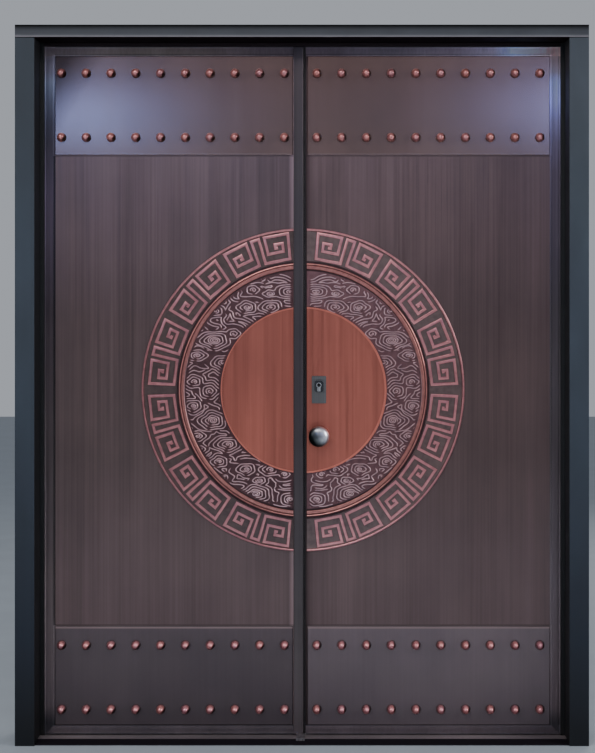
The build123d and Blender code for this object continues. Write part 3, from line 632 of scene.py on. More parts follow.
# Paint: its painted shade from the foot up, the painted highlight over the head's lower edge, its blacks and
# browns with the painted shadow along the head's top, and where they lie: heights over the head's lower edge,
# depths under its upper edge
FOOT_PAINTED_SHADE = ((0.0, grey(0.0)), (0.3, (0.30, 0.34, 0.43)), (0.62, (0.69, 0.70, 0.75)), (1.0, grey(1.0)))
HEAD_HIGHLIGHT_FALLOFF = (
    (0.12, grey(1.0)), (0.22, grey(0.25)), (0.45, grey(0.16)), (0.70, grey(0.05)), (1.0, grey(0.0)),
)
HEAD_HIGHLIGHT_TINT = (5.9, 5.0, 4.55)
REVEAL_BLACK = (0.003, 0.003, 0.0035)
HEAD_TOP_SHADOW = grey(0.002)
SOFFIT_BLACK = (0.005, 0.0028, 0.004)
STOP_NOSE = (0.016, 0.0115, 0.0135)
HEAD_HIGHLIGHT_SPAN = (16.5 * MM, 28.5 * MM)
SOFFIT_EDGE = 16 * MM
STOP_EDGE = 12 * MM
HEAD_TOP_SHADOW_FADE = (22 * MM, 3 * MM)

# Painted light on the border of each leaf, brighter than its panel, with painted reflections of the sky near
# the top, from the foot up: height in metres, tint
BORDER_PAINTED_LIGHT = {
    "left": [
        (0.05, (0.80, 1.10, 1.30)), (0.1, (2.6, 3.0, 3.3)), (0.53, (2.6, 3.0, 3.1)),
        (0.97, (1.8, 2.1, 2.2)), (1.45, (1.25, 1.4, 1.65)), (1.85, (1.85, 2.1, 3.1)),
        (2.02, (1.15, 1.5, 2.1)), (2.09, (1.2, 1.75, 2.7)), (2.16, (1.8, 2.8, 4.3)),
        (2.225, (3.05, 4.95, 7.3)), (2.26, (2.8, 3.9, 5.4)), (2.30, (3.1, 3.9, 4.9)),
        (2.33, (6.3, 7.2, 6.8)),
    ],
    "right": [
        (0.05, (1.15, 1.5, 1.75)), (0.1, (3.2, 3.6, 4.0)), (0.53, (3.7, 4.4, 4.9)), (0.97, (2.0, 2.4, 2.6)),
        (1.45, (1.7, 2.1, 2.4)), (1.92, (2.6, 3.0, 4.2)), (2.02, (3.6, 4.5, 7.2)), (2.09, (5.2, 7.0, 13.0)),
        (2.16, (7.8, 12.0, 26.0)), (2.225, (6.8, 11.0, 20.8)), (2.26, (5.6, 7.2, 10.0)),
        (2.30, (6.8, 7.2, 7.9)), (2.33, (11.0, 11.0, 10.6)),
    ],
}

# The same painted light along the top border, with a painted reflection on the right leaf, from the middle of
# the door outward
TOP_BORDER_PAINTED_LIGHT = {
    "left": [
        (0.13, (2.75, 3.1, 3.5)), (0.33, (3.2, 3.6, 3.5)), (0.54, (4.0, 4.7, 4.3)), (0.74, (4.0, 4.6, 4.6)),
        (0.84, (4.1, 4.6, 4.6)),
    ],
    "right": [
        (0.03, (2.9, 3.2, 3.8)), (0.31, (3.05, 3.7, 4.4)), (0.52, (4.8, 5.6, 7.0)),
        (0.65, (7.2, 9.0, 12.0)), (0.72, (11.5, 19.0, 29.0)), (0.79, (12.0, 15.0, 17.0)),
        (0.855, (10.5, 10.0, 9.5)),
    ],
}

# The same beside the seam: painted light in the shaded gap along the strip, painted shade on the rounded edge
# of the right leaf
SEAM_PAINTED_LIGHT_AND_SHADE = {
    "left": [(0.028, grey(2.6)), (0.036, grey(2.6)), (0.040, grey(1.0))],
    "right": [
        (0.010, (0.12, 0.10, 0.11)), (0.0145, (0.28, 0.24, 0.25)), (0.020, (0.66, 0.62, 0.63)),
        (0.034, grey(1.0)),
    ],
}

# Painted shade at the fold by the panel's edge, along the side borders and along the top border: millimetres
# out from the panel's edge, shade
FOLD_PAINTED_SHADES = {
    "left": [(-5.0, 1.0), (-1.5, 0.85), (0.8, 0.28), (4.6, 0.33), (7.5, 1.0)],
    "right": [(-2.0, 1.0), (1.0, 0.8), (6.0, 0.8), (9.0, 1.0)],
}
EDGE_PAINTED_SHADES = {
    "left": [(-0.5, 1.0), (0.8, 0.55), (4.6, 0.6), (7.0, 1.0), (26.0, 1.0), (30.5, 0.75), (33.0, 1.0)],
    "right": [(-0.5, 1.0), (0.8, 0.6), (6.0, 0.6), (9.0, 1.0), (25.5, 1.0), (29.0, 0.6), (34.0, 0.65)],
}
TOP_PAINTED_SHADES = [(0.5, 1.0), (1.0, 0.5), (5.0, 0.55), (8.0, 1.0), (28.5, 1.0), (30.5, 0.35)]

# Painted light on the panels, changing from the foot up: height in metres, tint
PANEL_PAINTED_LIGHT = {
    "left": [
        (0.38, (1.18, 1.16, 1.20)), (0.62, (1.14, 1.13, 1.16)), (0.95, (1.0, 1.0, 0.98)),
        (1.40, (1.06, 1.03, 1.0)), (1.72, (1.21, 1.19, 1.27)), (1.98, (1.26, 1.28, 1.45)),
    ],
    "right": [
        (0.38, (1.20, 1.18, 1.22)), (0.62, (1.19, 1.17, 1.20)), (0.95, (1.05, 1.0, 0.98)),
        (1.40, (1.08, 1.02, 1.0)), (1.72, (1.29, 1.22, 1.24)), (1.98, (1.34, 1.30, 1.38)),
    ],
}

# Painted light on the upper stud bands, changing from the foot up, and the painted shadow in the upper left
# corner of the left one: the slope along which it changes, the middle and half the width of the change, and
# its shade
BAND_PAINTED_LIGHT = [
    (2.02, (1.14, 1.15, 1.10)), (2.09, (1.04, 1.05, 1.03)), (2.15, (1.05, 1.04, 1.02)),
    (2.19, (1.04, 1.02, 1.00)), (2.24, (1.02, 0.97, 0.92)), (2.31, (1.26, 1.17, 1.04)),
]
SHADOW_SLOPE = (1.0, 0.0, -0.6)
SHADOW_MIDDLE = -2.118
SHADOW_HALF = 0.065
SHADOW = (0.25, 0.21, 0.16)

# Painted light on the meeting strip, changing from the foot up
STRIP_PAINTED_LIGHT = [
    (0.12, (2.0, 1.9, 1.75)), (0.42, (1.15, 1.15, 1.05)), (1.1, (1.15, 1.10, 1.05)),
    (1.8, (1.22, 1.22, 1.15)), (2.2, (1.30, 1.2, 1.15)),
]

# Brightness of the lower stud band of each leaf, painted light
LOWER_BAND_PAINTED_LIGHT = {"left": 1.0, "right": 1.45}

# Painted light near the top of each jamb: the tint of its paint there
JAMB_TOP_PAINTED_LIGHT = {"left": (0.83, 0.80, 0.75), "right": (1.57, 1.40, 1.27)}

# The relief: painted light that changes from the foot up, its stains, how bright its ground and crests are on
# each leaf, the right leaf's brighter ground being painted reflection, and the copper of the band round the
# clouds
RELIEF_PAINTED_LIGHT = [
    (0.72, (1.05, 1.14, 1.18)), (0.95, grey(1.0)), (1.25, grey(1.0)), (1.62, (1.30, 1.34, 1.36)),
]
STAIN_TINTS = ((0.30, (0.80, 0.74, 0.76)), (0.62, (1.10, 1.02, 1.0)))
RELIEF_TONE_AND_SHEEN = {"left": (1.0, 1.0), "right": (1.4, 1.12)}
CLOUD_TONE_AND_SHEEN = {"left": (1.0, 0.84), "right": (1.6, 0.74)}
BAND_COPPER = (0.37, 0.155, 0.135)

# Toward which side each leaf's studs get a painted shadow, as an angle up from the right
SHADOWED_SIDE = {"left": math.radians(-25), "right": math.radians(8)}

# Toward which side the lower rows' studs get a painted highlight, and the height below which they get it
HIGHLIGHT_SIDE = math.radians(62)
HIGHLIGHT_BELOW = 1.0
HIGHLIGHT_TINTS = [(0.0, (0.80, 0.80, 0.86)), (1.0, (2.3, 2.5, 2.6))]

# Metals of the lock: nodes, name, dark, light, roughness, metallic, fine and broad grain
LOCK_METALS = (
    (
        ("outside_lock_plate", "inside_lock_plate"),
        "plate_brushed_steel", (0.085, 0.084, 0.082), (0.150, 0.148, 0.146), 0.36, 0.85, 260.0, 40.0,
    ),
    (
        ("lock_cylinder", "strike_plate", "lock_faceplate", "latch", "deadbolts", "top_bolt", "bottom_bolt"),
        "cylinder_satin_nickel", grey(0.45), (0.7, 0.7, 0.69), 0.25, 1.0, 300.0, 60.0,
    ),
    (
        ("cylinder_plug",),
        "plug_black_nickel", (0.010, 0.010, 0.011), (0.035, 0.035, 0.037), 0.3, 0.9, 300.0, 60.0,
    ),
    (
        ("lock_case", "top_bolt_case", "bottom_bolt_case", "follower", "spindle"),
        "lock_case_steel", (0.16, 0.16, 0.165), (0.32, 0.32, 0.33), 0.4, 0.85, 160.0, 20.0,
    ),
)


class Finish:
    """A node material; its steps take sockets and plain values alike."""

    def __init__(self, name, metallic, roughness):
        self.material = bpy.data.materials.new(name)
        self.material.use_nodes = True
        self.nodes = self.material.node_tree.nodes
        self.shader = self.nodes["Principled BSDF"]
        self.feed("Metallic", metallic)
        self.feed("Roughness", roughness)
        self.place = self.nodes.new("ShaderNodeTexCoord").outputs["Object"]

    def feed(self, key, value, node=None):
        """Gives an input of a node, or of the shader, a socket or a plain value."""
        socket = (self.shader if node is None else node).inputs[key]
        if isinstance(value, bpy.types.NodeSocket):
            self.material.node_tree.links.new(value, socket)
        elif isinstance(value, tuple) and len(value) < len(socket.default_value):
            socket.default_value = (*value, 1.0)
        else:
            socket.default_value = value

    def node(self, kind, inputs, **settings):
        node = self.nodes.new(kind)
        for key, setting in settings.items():
            setattr(node, key, setting)
        for key, value in inputs.items():
            self.feed(key, value, node)
        return node

    def math(self, operation, *values):
        return self.node("ShaderNodeMath", dict(enumerate(values)), operation=operation).outputs[0]

    def vector(self, operation, output, *values):
        inputs = dict(enumerate(values))
        return self.node("ShaderNodeVectorMath", inputs, operation=operation).outputs[output]

    def axis(self, name):
        return self.node("ShaderNodeSeparateXYZ", {0: self.place}).outputs[name]

    def noise(self, scale, detail=3.0):
        """Noise whose grain has the given number of bumps a metre along x, y and z."""
        grid = self.node("ShaderNodeMapping", {"Vector": self.place, "Scale": scale}).outputs["Vector"]
        inputs = {"Vector": grid, "Scale": 1.0, "Detail": detail, "Roughness": NOISE_ROUGHNESS}
        return self.node("ShaderNodeTexNoise", inputs).outputs["Fac"]

    def ramp(self, value, *stops):
        """A colour ramp on a value; each stop is (place, colour)."""
        node = self.node("ShaderNodeValToRGB", {"Fac": value})
        elements = node.color_ramp.elements
        while len(elements) < len(stops):
            elements.new(0.5)
        for element, (place, colour) in zip(elements, stops):
            element.position = place
            element.color = (*colour, 1.0)
        return node.outputs["Color"]

    def mix(self, amount, first, second, mode="MIX"):
        inputs = {0: amount, 6: first, 7: second}
        return self.node("ShaderNodeMix", inputs, data_type="RGBA", blend_type=mode).outputs[2]

    def times(self, first, second):
        return self.mix(1.0, first, second, "MULTIPLY")

    def ranged(self, value, low, high, to_low=0.0, to_high=1.0):
        inputs = {"Value": value, "From Min": low, "From Max": high, "To Min": to_low, "To Max": to_high}
        return self.node("ShaderNodeMapRange", inputs).outputs["Result"]

    def step(self, value, edge, half, before=0.0, after=1.0):
        """A change at an edge, spread over a short way on both sides of it."""
        return self.ranged(value, edge - half, edge + half, before, after)

    def tinted_along(self, colour, distance, tints):
        """Multiplies a colour by tints that change with a distance in metres; they may pass white."""
        stops = ((place / HEIGHT_SPAN, scaled(value, 1 / TINT_SPAN)) for place, value in tints)
        tint = self.ramp(self.ranged(distance, 0.0, HEIGHT_SPAN), *stops)
        return self.times(self.times(colour, tint), grey(TINT_SPAN))

    def shaded_across(self, colour, across, edge, shades, mask):
        """Darkens a colour by shades that change across an edge, but not where the mask is 0."""
        stops = ((0.5 + out / SHADE_SPAN / 2, grey(value)) for out, value in shades)
        shade = self.ramp(self.step(across, edge, SHADE_SPAN * MM), *stops)
        return self.times(colour, self.mix(mask, grey(1.0), shade))

    def shaded_aslant(self, colour, slope, middle, half, *stops):
        """Darkens a colour by shades that change along a slope over the face of the door."""
        along = self.vector("DOT_PRODUCT", "Value", self.place, slope)
        return self.times(colour, self.ramp(self.step(along, middle, half), *stops))

    def distance_out(self):
        """Distance from the middle of the medallion, over the face of the door."""
        offset = self.vector("SUBTRACT", "Vector", self.place, (MEDALLION_X, 0.0, MEDALLION_Z))
        return self.vector("LENGTH", "Value", self.vector("MULTIPLY", "Vector", offset, (1.0, 0.0, 1.0)))

    def bump(self, height, strength, distance):
        inputs = {"Strength": strength, "Distance": distance, "Height": height}
        self.feed("Normal", self.node("ShaderNodeBump", inputs).outputs["Normal"])

    def attribute(self, name):
        return self.node("ShaderNodeAttribute", {}, attribute_name=name).outputs["Fac"]


def bordered(finish, plain, lined, rim, heights):
    """A leaf's panel, its folds and its border, with painted light and painted shade on them.

    plain and lined are the bronze without and with the thin painted lines, rim the panel's half width, foot,
    head and side, heights those of the two lines.
    """
    half_width, low, high, side = rim
    across = finish.math("ABSOLUTE", finish.axis("X"))
    height = finish.axis("Z")
    beside = finish.step(across, half_width, EDGE)
    above = finish.step(height, high, EDGE)
    ends = finish.math("MAXIMUM", above, finish.step(height, low, EDGE, 1.0, 0.0))
    inward = finish.ranged(beside, 0.0, 1.0, 1.0, 0.0)
    level = finish.ranged(ends, 0.0, 1.0, 1.0, 0.0)
    # Painted light on the side borders by height and on the top border across
    sides = finish.tinted_along(plain, height, BORDER_PAINTED_LIGHT[side])
    top = finish.tinted_along(plain, across, TOP_BORDER_PAINTED_LIGHT[side])
    # Painted shade along the top border's inner edge and at the leaf's top
    top = finish.shaded_across(top, height, high, TOP_PAINTED_SHADES, inward)
    # Painted light on the panel by height
    panel = finish.tinted_along(lined, height, PANEL_PAINTED_LIGHT[side])
    colour = finish.mix(finish.math("MAXIMUM", beside, ends), panel, finish.mix(above, sides, top))
    upper, lower = heights
    between = finish.math("COMPARE", height, (upper + lower) / 2, (upper - lower) / 2)
    # Painted shade at the fold and along the outer edges
    colour = finish.shaded_across(colour, across, half_width, FOLD_PAINTED_SHADES[side], between)
    colour = finish.shaded_across(colour, across, half_width, EDGE_PAINTED_SHADES[side], level)
    # Painted light and painted shade beside the seam
    return finish.mix(level, colour, finish.tinted_along(colour, across, SEAM_PAINTED_LIGHT_AND_SHADE[side]))


def brushed_finish(
    name, dark, light, roughness=0.4, metallic=0.75, fine=150.0, broad=11.0, bump=0.12, upright=True,
    rim=None, foot=None, uneven=1.0, edge_highlight=None, painted_shading=None, stretch=0.0, lines=None, rise=None,
    shadow=False,
):
    """Brushed metal: fine grain and broad cloudy streaks that run one way.

    rim holds the panel inside its border, on which light and shade are painted; foot the depth in front of
    which it is black; the bright edge is the radius and colour of a highlight painted round an edge; the knob
    shading is the box of a piece painted with shade on its left and a highlight on its upper right; stretch
    how far the grain draws out its glints; lines the heights, half width and colour of thin level lines,
    painted shadows beside the bands and painted highlights along their edges; rise the tints from the foot
    up, which are painted light;
    shadow paints a shadow over its upper left corner.
    """
    finish = Finish(name, metallic, roughness)
    along, across = (GRAIN_ALONG, (fine, broad)) if upright else ((fine, broad), GRAIN_ALONG)
    grain = finish.noise((across[0], across[0], along[0]), 4.0)
    cloud = finish.noise((across[1], across[1], along[1] * CLOUD_LENGTH))
    blotch = finish.noise(BLOTCH_GRID, 5.0)
    streaks = finish.ramp(cloud, (0.32, dark), (0.72, light))
    fibres = finish.ramp(grain, (0.30, dark), (0.70, light))
    colour = finish.times(finish.mix(0.45, streaks, fibres), finish.ramp(blotch, *BLOTCH_TINTS))
    # Tints from the foot up, which are painted light
    if rise:
        colour = finish.tinted_along(colour, finish.axis("Z"), rise)
    # Painted shadow over the upper left corner
    if shadow:
        stops = ((0.0, SHADOW), (1.0, grey(1.0)))
        colour = finish.shaded_aslant(colour, SHADOW_SLOPE, SHADOW_MIDDLE, SHADOW_HALF, *stops)
    plain = colour
    # Thin painted lines: shadows beside the bands, highlights along their edges
    if lines:
        heights, half, tone = lines
        for height in heights:
            near = finish.math("COMPARE", finish.axis("Z"), height, half)
            colour = finish.mix(finish.math("MULTIPLY", near, PAINTED_LINE_STRENGTH), colour, tone)
    if rim:
        colour = bordered(finish, plain, colour, rim, lines[0])
    if stretch:
        way = (1.0, 0.0, 0.0) if upright else (0.0, 0.0, 1.0)
        settings = {"vector_type": "VECTOR", "convert_from": "OBJECT", "convert_to": "WORLD"}
        finish.feed("Tangent", finish.node("ShaderNodeVectorTransform", {0: way}, **settings).outputs[0])
        finish.feed("Anisotropic", stretch)
    # Black in front of the threshold's ridge
    if foot:
        depth = finish.axis("Y")
        colour = finish.mix(finish.step(depth, foot, MM, 1.0, 0.0), colour, THRESHOLD_BLACK)
        finish.feed("Specular IOR Level", finish.step(depth, foot, MM, 0.0, 0.5))
        finish.feed("Metallic", finish.step(depth, foot, MM, 0.0, metallic))
    # Painted shade on the piece's left and a painted highlight on its upper right
    if painted_shading:
        low, high = painted_shading
        middle = KNOB_SHADING_SLOPE[0] * (low.x + high.x) / 2 + KNOB_SHADING_SLOPE[2] * (low.z + high.z) / 2
        colour = finish.shaded_aslant(colour, KNOB_SHADING_SLOPE, middle, (high.x - low.x) / 2, *KNOB_PAINTED_SHADING)
        colour = finish.times(colour, KNOB_HIGHLIGHT_GAIN)
    # Painted highlight round an edge
    if edge_highlight:
        radius, tone = edge_highlight
        colour = finish.mix(finish.step(finish.distance_out(), radius, 0.4 * MM), colour, tone)
    finish.feed("Base Color", colour)
    smooth, rough = roughness - 0.06 * uneven, roughness + 0.08 * uneven
    finish.feed("Roughness", finish.ranged(grain, 0.3, 0.7, smooth, rough))
    finish.bump(grain, bump, 0.4 * MM)
    return finish.material


def painted_finish(
    name, colour, roughness=0.5, foot_painted_shade=1.0, reveal=None, edges=None, specular=0.5, painted_top_light=None,
):
    """Satin paint with fine orange peel and dust, darker towards the foot as painted shade.

    reveal is how far from the middle it turns black, edges the lower, upper and front edge of the head, which
    get a painted highlight over the lower edge and a painted shadow along the top; the last argument is the
    tint of painted light at its top.
    """
    finish = Finish(name, 0.0, roughness)
    peel = finish.noise(PEEL_GRID, 2.0)
    dust = finish.noise(DUST_GRID, 5.0)
    height = finish.axis("Z")
    finish.feed("Specular IOR Level", specular)
    faded = finish.ramp(dust, (0.32, scaled(colour, 0.82)), (0.72, scaled(colour, 1.22)))
    # Painted shade, darker towards the foot
    rise = finish.ranged(height, 0.05, 1.35, foot_painted_shade, 1.0)
    painted = finish.times(faded, finish.ramp(rise, *FOOT_PAINTED_SHADE))
    # Painted light at the top
    if painted_top_light:
        painted = finish.tinted_along(painted, height, [(1.45, grey(1.0)), (2.22, painted_top_light)])
    if reveal:
        inside = finish.step(finish.math("ABSOLUTE", finish.axis("X")), reveal, 0.3 * MM, 0.92, 0.0)
        painted = finish.mix(inside, painted, REVEAL_BLACK)
    if edges:
        low, high, front = edges
        # Painted highlight over the head's lower edge
        over = finish.ranged(height, low + HEAD_HIGHLIGHT_SPAN[0], low + HEAD_HIGHLIGHT_SPAN[1])
        highlit = finish.ramp(over, *HEAD_HIGHLIGHT_FALLOFF)
        painted = finish.mix(highlit, painted, tinted(colour, HEAD_HIGHLIGHT_TINT))
        # Painted shadow along the head's top, on its front face only
        crest = finish.ranged(height, high - HEAD_TOP_SHADOW_FADE[0], high - HEAD_TOP_SHADOW_FADE[1], 0.0, 0.97)
        face = finish.step(finish.axis("Y"), front + 3 * MM, MM, 1.0, 0.0)
        painted = finish.mix(face, painted, finish.mix(crest, painted, HEAD_TOP_SHADOW))
        for edge, tone in ((SOFFIT_EDGE, SOFFIT_BLACK), (STOP_EDGE, STOP_NOSE)):
            painted = finish.mix(finish.step(height, low + edge, EDGE, 1.0, 0.0), painted, tone)
        # Less specular over the black soffit and along the top, where the painted shadow lies
        shades = ((0.0, 0.02), (0.03, specular), (0.60, specular), (0.95, 0.02))
        stops = ((place, grey(value)) for place, value in shades)
        gloss = finish.ramp(finish.ranged(height, low + 15 * MM, high), *stops)
        finish.feed("Specular IOR Level", gloss)
    finish.feed("Base Color", painted)
    finish.feed("Roughness", finish.ranged(dust, 0.3, 0.7, roughness - 0.07, roughness + 0.1))
    finish.bump(peel, 0.08, 0.2 * MM)
    return finish.material


def relief_finish(name, ground, side, top, top_y, ground_y, wear_and_sheen, band=None):
    """Dark patina on the ground, wiped copper on the crests of the relief.

    The next to last argument holds how much brighter the ground and the crests are, the brighter ground
    partly painted reflection; band the radius beyond which a plain ring begins and its colour.
    """
    finish = Finish(name, 0.8, 0.38)
    height = finish.axis("Y")
    level = finish.ranged(height, ground_y, top_y)
    # Ground and crest brightness of this leaf; a brighter ground is painted reflection
    dull, bright = scaled(ground, wear_and_sheen[0]), scaled(top, wear_and_sheen[1])
    crest = finish.ramp(level, (0.10, dull), (0.46, scaled(side, 0.8)), (0.90, bright))
    if band:
        radius, colour = band
        rise = finish.ranged(height, ground_y, CREST_Y)
        ring = finish.ramp(rise, (0.05, scaled(ground, 0.5)), (0.45, side), (0.80, colour))
        crest = finish.mix(finish.step(finish.distance_out(), radius, EDGE), crest, ring)
    stain = finish.ramp(finish.noise((60.0, 60.0, 60.0), 4.0), *STAIN_TINTS)
    # Painted light that changes from the foot up
    crest = finish.tinted_along(crest, finish.axis("Z"), RELIEF_PAINTED_LIGHT)
    finish.feed("Base Color", finish.times(crest, stain))
    finish.feed("Roughness", finish.ranged(level, 0.0, 1.0, 0.55, 0.3))
    finish.bump(finish.noise((520.0, 520.0, 520.0), 2.0), 0.25, 0.5 * MM)
    return finish.material


def dress(names, material):
    """Gives CAD nodes a finish."""
    for name in names:
        item = NODES[name]
        if not item.material_slots:
            raise RuntimeError(f"the node {name} has no material slot")
        for holder in item.material_slots:
            holder.link = "OBJECT"
            holder.material = material


class DOOR_OT_frame(bpy.types.Operator):
    """Paints the jambs, the head and the threshold, and gives the seals and hinges their finish"""

    bl_idname = "door.frame"
    bl_label = "Frame"

    def execute(self, context):
        finish = context.scene.door_finish
        low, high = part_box("head")
        reveal = -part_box("front_skin_left")[0].x + 4.5 * MM
        # Painted light at the top of each jamb, painted shade towards its foot
        for side, painted_top_light in JAMB_TOP_PAINTED_LIGHT.items():
            name = f"slate_jamb_paint_{side}"
            paint = painted_finish(name, finish.paint, 0.6, 0.08, reveal=reveal, specular=0.3, painted_top_light=painted_top_light)
            dress([f"jamb_{side}"], paint)
        edges = (low.z, high.z, low.y)
        # The head: painted highlight over its lower edge, painted shadow along its top
        paint = painted_finish("slate_head_paint", finish.head_paint, 0.6, edges=edges, specular=0.3)
        dress(["head"], paint)
        rubber = painted_finish("black_seal_rubber", (0.012, 0.012, 0.013), 0.75)
        dress(["frame_seal_left", "frame_seal_right", "frame_seal_top"], rubber)
        self.lips(painted_finish("dark_lip_rubber", (0.0205, 0.0155, 0.0175), 0.7))
        sill = brushed_finish(
            "sill_steel", (0.36, 0.30, 0.30), (0.66, 0.56, 0.57), 0.36, 0.85, 180.0, 9.0, 0.1,
            upright=False, foot=THRESHOLD_BLACK_DEPTH,
        )
        dress(["threshold"], sill)
        stop = brushed_finish(
            "centre_stop_steel", (0.02, 0.014, 0.017), (0.70, 0.65, 0.68), 0.34, 0.9, 330.0, 60.0,
        )
        dress(["centre_stop"], stop)
        hinges = brushed_finish(
            "hinge_steel_finish", (0.09, 0.09, 0.095), (0.24, 0.24, 0.25), 0.38, 0.9, 260.0, 26.0,
            upright=False,
        )
        dress([f"hinge_{part}_halves_{side}" for part in ("frame", "leaf") for side in SIDES], hinges)
        return {"FINISHED"}

    def lips(self, rubber):
        """The soft lips that close the seam between the leaves; their rounded noses all but touch."""
        boxes = {side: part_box(f"meeting_seal_{side}") for side in SIDES}
        middle = (boxes["left"][1].x + boxes["right"][0].x) / 2
        for side, sign in SIDES.items():
            low, high = boxes[side]
            root = low.x if sign < 0 else high.x
            reach = middle + sign * LIP_PARTING / 2 - root
            thick = high.y - low.y
            nose = [(root + out * reach, low.y + back * thick) for out, back in LIP_NOSE]
            shell = Shell()
            shell.add_loops([[(x, y, z) for x, y in nose] for z in (low.z, high.z)])
            name = f"meeting_lip_{side}"
            shell.piece(name, f"{side}_leaf", rubber, "seal_rubber", f"meeting_seal_{side}")


class DOOR_OT_leaves(bpy.types.Operator):
    """Gives the leaves, their stud bands and the meeting strip brushed bronze"""

    bl_idname = "door.leaves"
    bl_label = "Leaves"

    def execute(self, context):
        finish = context.scene.door_finish
        dark, light = finish.bronze_dark, finish.bronze_light
        top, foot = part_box("top_band_left"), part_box("bottom_band_left")
        back = brushed_finish("brushed_back_bronze", scaled(dark, 1.1), scaled(light, 1.1), 0.45)
        fill = painted_finish("honeycomb_core_board", (0.30, 0.21, 0.12), 0.8)
        # The meeting strip, with painted light from the foot up
        strip = brushed_finish(
            "strip_slate_grey", (0.037, 0.031, 0.035), (0.058, 0.049, 0.056), 0.36, 0.7, 240.0, 40.0, 0.05,
            uneven=0.5, rise=STRIP_PAINTED_LIGHT,
        )
        dress(["meeting_strip"], strip)
        polished = {"fine": 90.0, "broad": 4.0, "bump": 0.0, "uneven": 0.12}
        # Thin painted shadows on the panel just below the upper band and just above the lower band
        lines = ([top[0].z - 3.5 * MM, foot[1].z + 3 * MM], 2.6 * MM, scaled(dark, 0.9))
        for side, share in LOWER_BAND_PAINTED_LIGHT.items():
            rim = (-top[0].x, foot[0].z, top[1].z, side)
            panel = brushed_finish(f"brushed_leaf_bronze_{side}", dark, light, rim=rim, lines=lines)
            # Upper bands: painted light by height, painted highlight on the lower edge, painted shadow in the
            # left corner
            upper = brushed_finish(
                f"brushed_band_bronze_{side}", tinted(dark, (2.3, 2.1, 2.0)),
                tinted(light, (1.50, 1.38, 1.29)), 0.19, stretch=0.62,
                lines=([top[0].z + 2 * MM], 2 * MM, scaled(light, 2.6)), rise=BAND_PAINTED_LIGHT,
                shadow=side == "left", **polished,
            )
            # Lower bands: painted light by leaf, painted highlight along the upper edge
            lower = brushed_finish(
                f"brushed_lower_bronze_{side}", tinted(dark, scaled((1.25, 1.42, 1.58), share)),
                tinted(light, scaled((0.84, 0.95, 1.06), share)), 0.37,
                lines=([foot[1].z - 5 * MM], 2.9 * MM, scaled(light, 2.0)), **polished,
            )
            dress([f"front_skin_{side}"], panel)
            dress([f"top_band_{side}"], upper)
            dress([f"bottom_band_{side}"], lower)
            dress([f"back_skin_{side}"], back)
            dress([f"core_{side}"], fill)
        return {"FINISHED"}


class DOOR_OT_studs(bpy.types.Operator):
    """Puts a turned copper dome on each stud of the bands"""

    bl_idname = "door.studs"
    bl_label = "Studs"

    def execute(self, context):
        steps = context.scene.door_relief.stud_steps
        material = self.copper(context.scene.door_finish.stud)
        for side in SIDES:
            low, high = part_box(f"studs_{side}")
            top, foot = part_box(f"top_band_{side}"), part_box(f"bottom_band_{side}")
            inset = top[1].z - (high.z - STUD_RADIUS)
            drop = foot[0].z + inset - (low.z + STUD_RADIUS)
            rows = (top[1].z - inset, top[0].z + inset, foot[1].z - inset - drop, foot[0].z + inset - drop)
            first, last = low.x + STUD_RADIUS, high.x - STUD_RADIUS
            shape = [(share * STUD_RADIUS, out * (high.y - low.y)) for share, out in STUD_PROFILE]
            shell = Shell()
            painted_shadow = []
            painted_highlight = []
            for z in rows:
                for i in range(STUD_COUNT):
                    x = first + (last - first) * i / (STUD_COUNT - 1)
                    shell.add_loops(lathe_loops((x, high.y, z), shape, steps))
                    for share, out in STUD_PROFILE:
                        for k in range(steps):
                            turn = 2 * math.pi * k / steps
                            # Painted shadow on one side of each dome, painted highlight on another
                            toward = max(0.0, math.cos(turn - SHADOWED_SIDE[side])) ** 1.5
                            lit = max(0.0, math.cos(turn - HIGHLIGHT_SIDE)) ** 1.5
                            painted_shadow.append(toward * min(1.0, share * 1.15))
                            painted_highlight.append(lit * min(1.0, 1.6 * share * (1.25 - share)))
            name = f"domed_studs_{side}"
            item = shell.piece(name, f"{side}_leaf", material, "stud_copper", f"studs_{side}")
            item.data.attributes.new("painted_shadow", "FLOAT", "POINT").data.foreach_set("value", painted_shadow)
            item.data.attributes.new("painted_highlight", "FLOAT", "POINT").data.foreach_set("value", painted_highlight)
        return {"FINISHED"}

    def copper(self, colour):
        """Stud copper, with a painted shadow and a painted highlight that the domes' points hold."""
        finish = Finish("domed_stud_copper", 0.62, 0.3)
        wear_and_sheen = finish.noise((90.0, 90.0, 90.0), 4.0)
        spots = finish.noise((11.0, 11.0, 11.0), 1.0)
        low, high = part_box("studs_left")
        level = finish.ranged(finish.axis("Y"), high.y, low.y)
        tone = finish.ramp(level, (0.0, scaled(colour, 0.10)), (0.35, scaled(colour, 0.7)), (0.9, colour))
        stain = finish.ramp(wear_and_sheen, (0.3, (0.80, 0.78, 0.80)), (0.65, (1.10, 1.08, 1.05)))
        shift = finish.ramp(spots, (0.35, (0.92, 0.95, 1.05)), (0.65, (1.08, 1.02, 0.95)))
        # Painted shadow from the domes' points
        shadowed = finish.ramp(finish.attribute("painted_shadow"), (0.25, grey(1.0)), (0.75, (0.07, 0.05, 0.05)))
        # Painted highlight on the lower rows' domes
        highlit = finish.tinted_along(tone, finish.attribute("painted_highlight"), HIGHLIGHT_TINTS)
        upper = finish.ranged(finish.axis("Z"), HIGHLIGHT_BELOW, HIGHLIGHT_BELOW + 10 * MM)
        tone = finish.mix(upper, highlit, tone)
        for layer in (stain, shadowed, shift):
            tone = finish.times(tone, layer)
        finish.feed("Base Color", tone)
        finish.feed("Roughness", finish.ranged(wear_and_sheen, 0.3, 0.7, 0.22, 0.42))
        finish.bump(wear_and_sheen, 0.07, 0.6 * MM)
        return finish.material


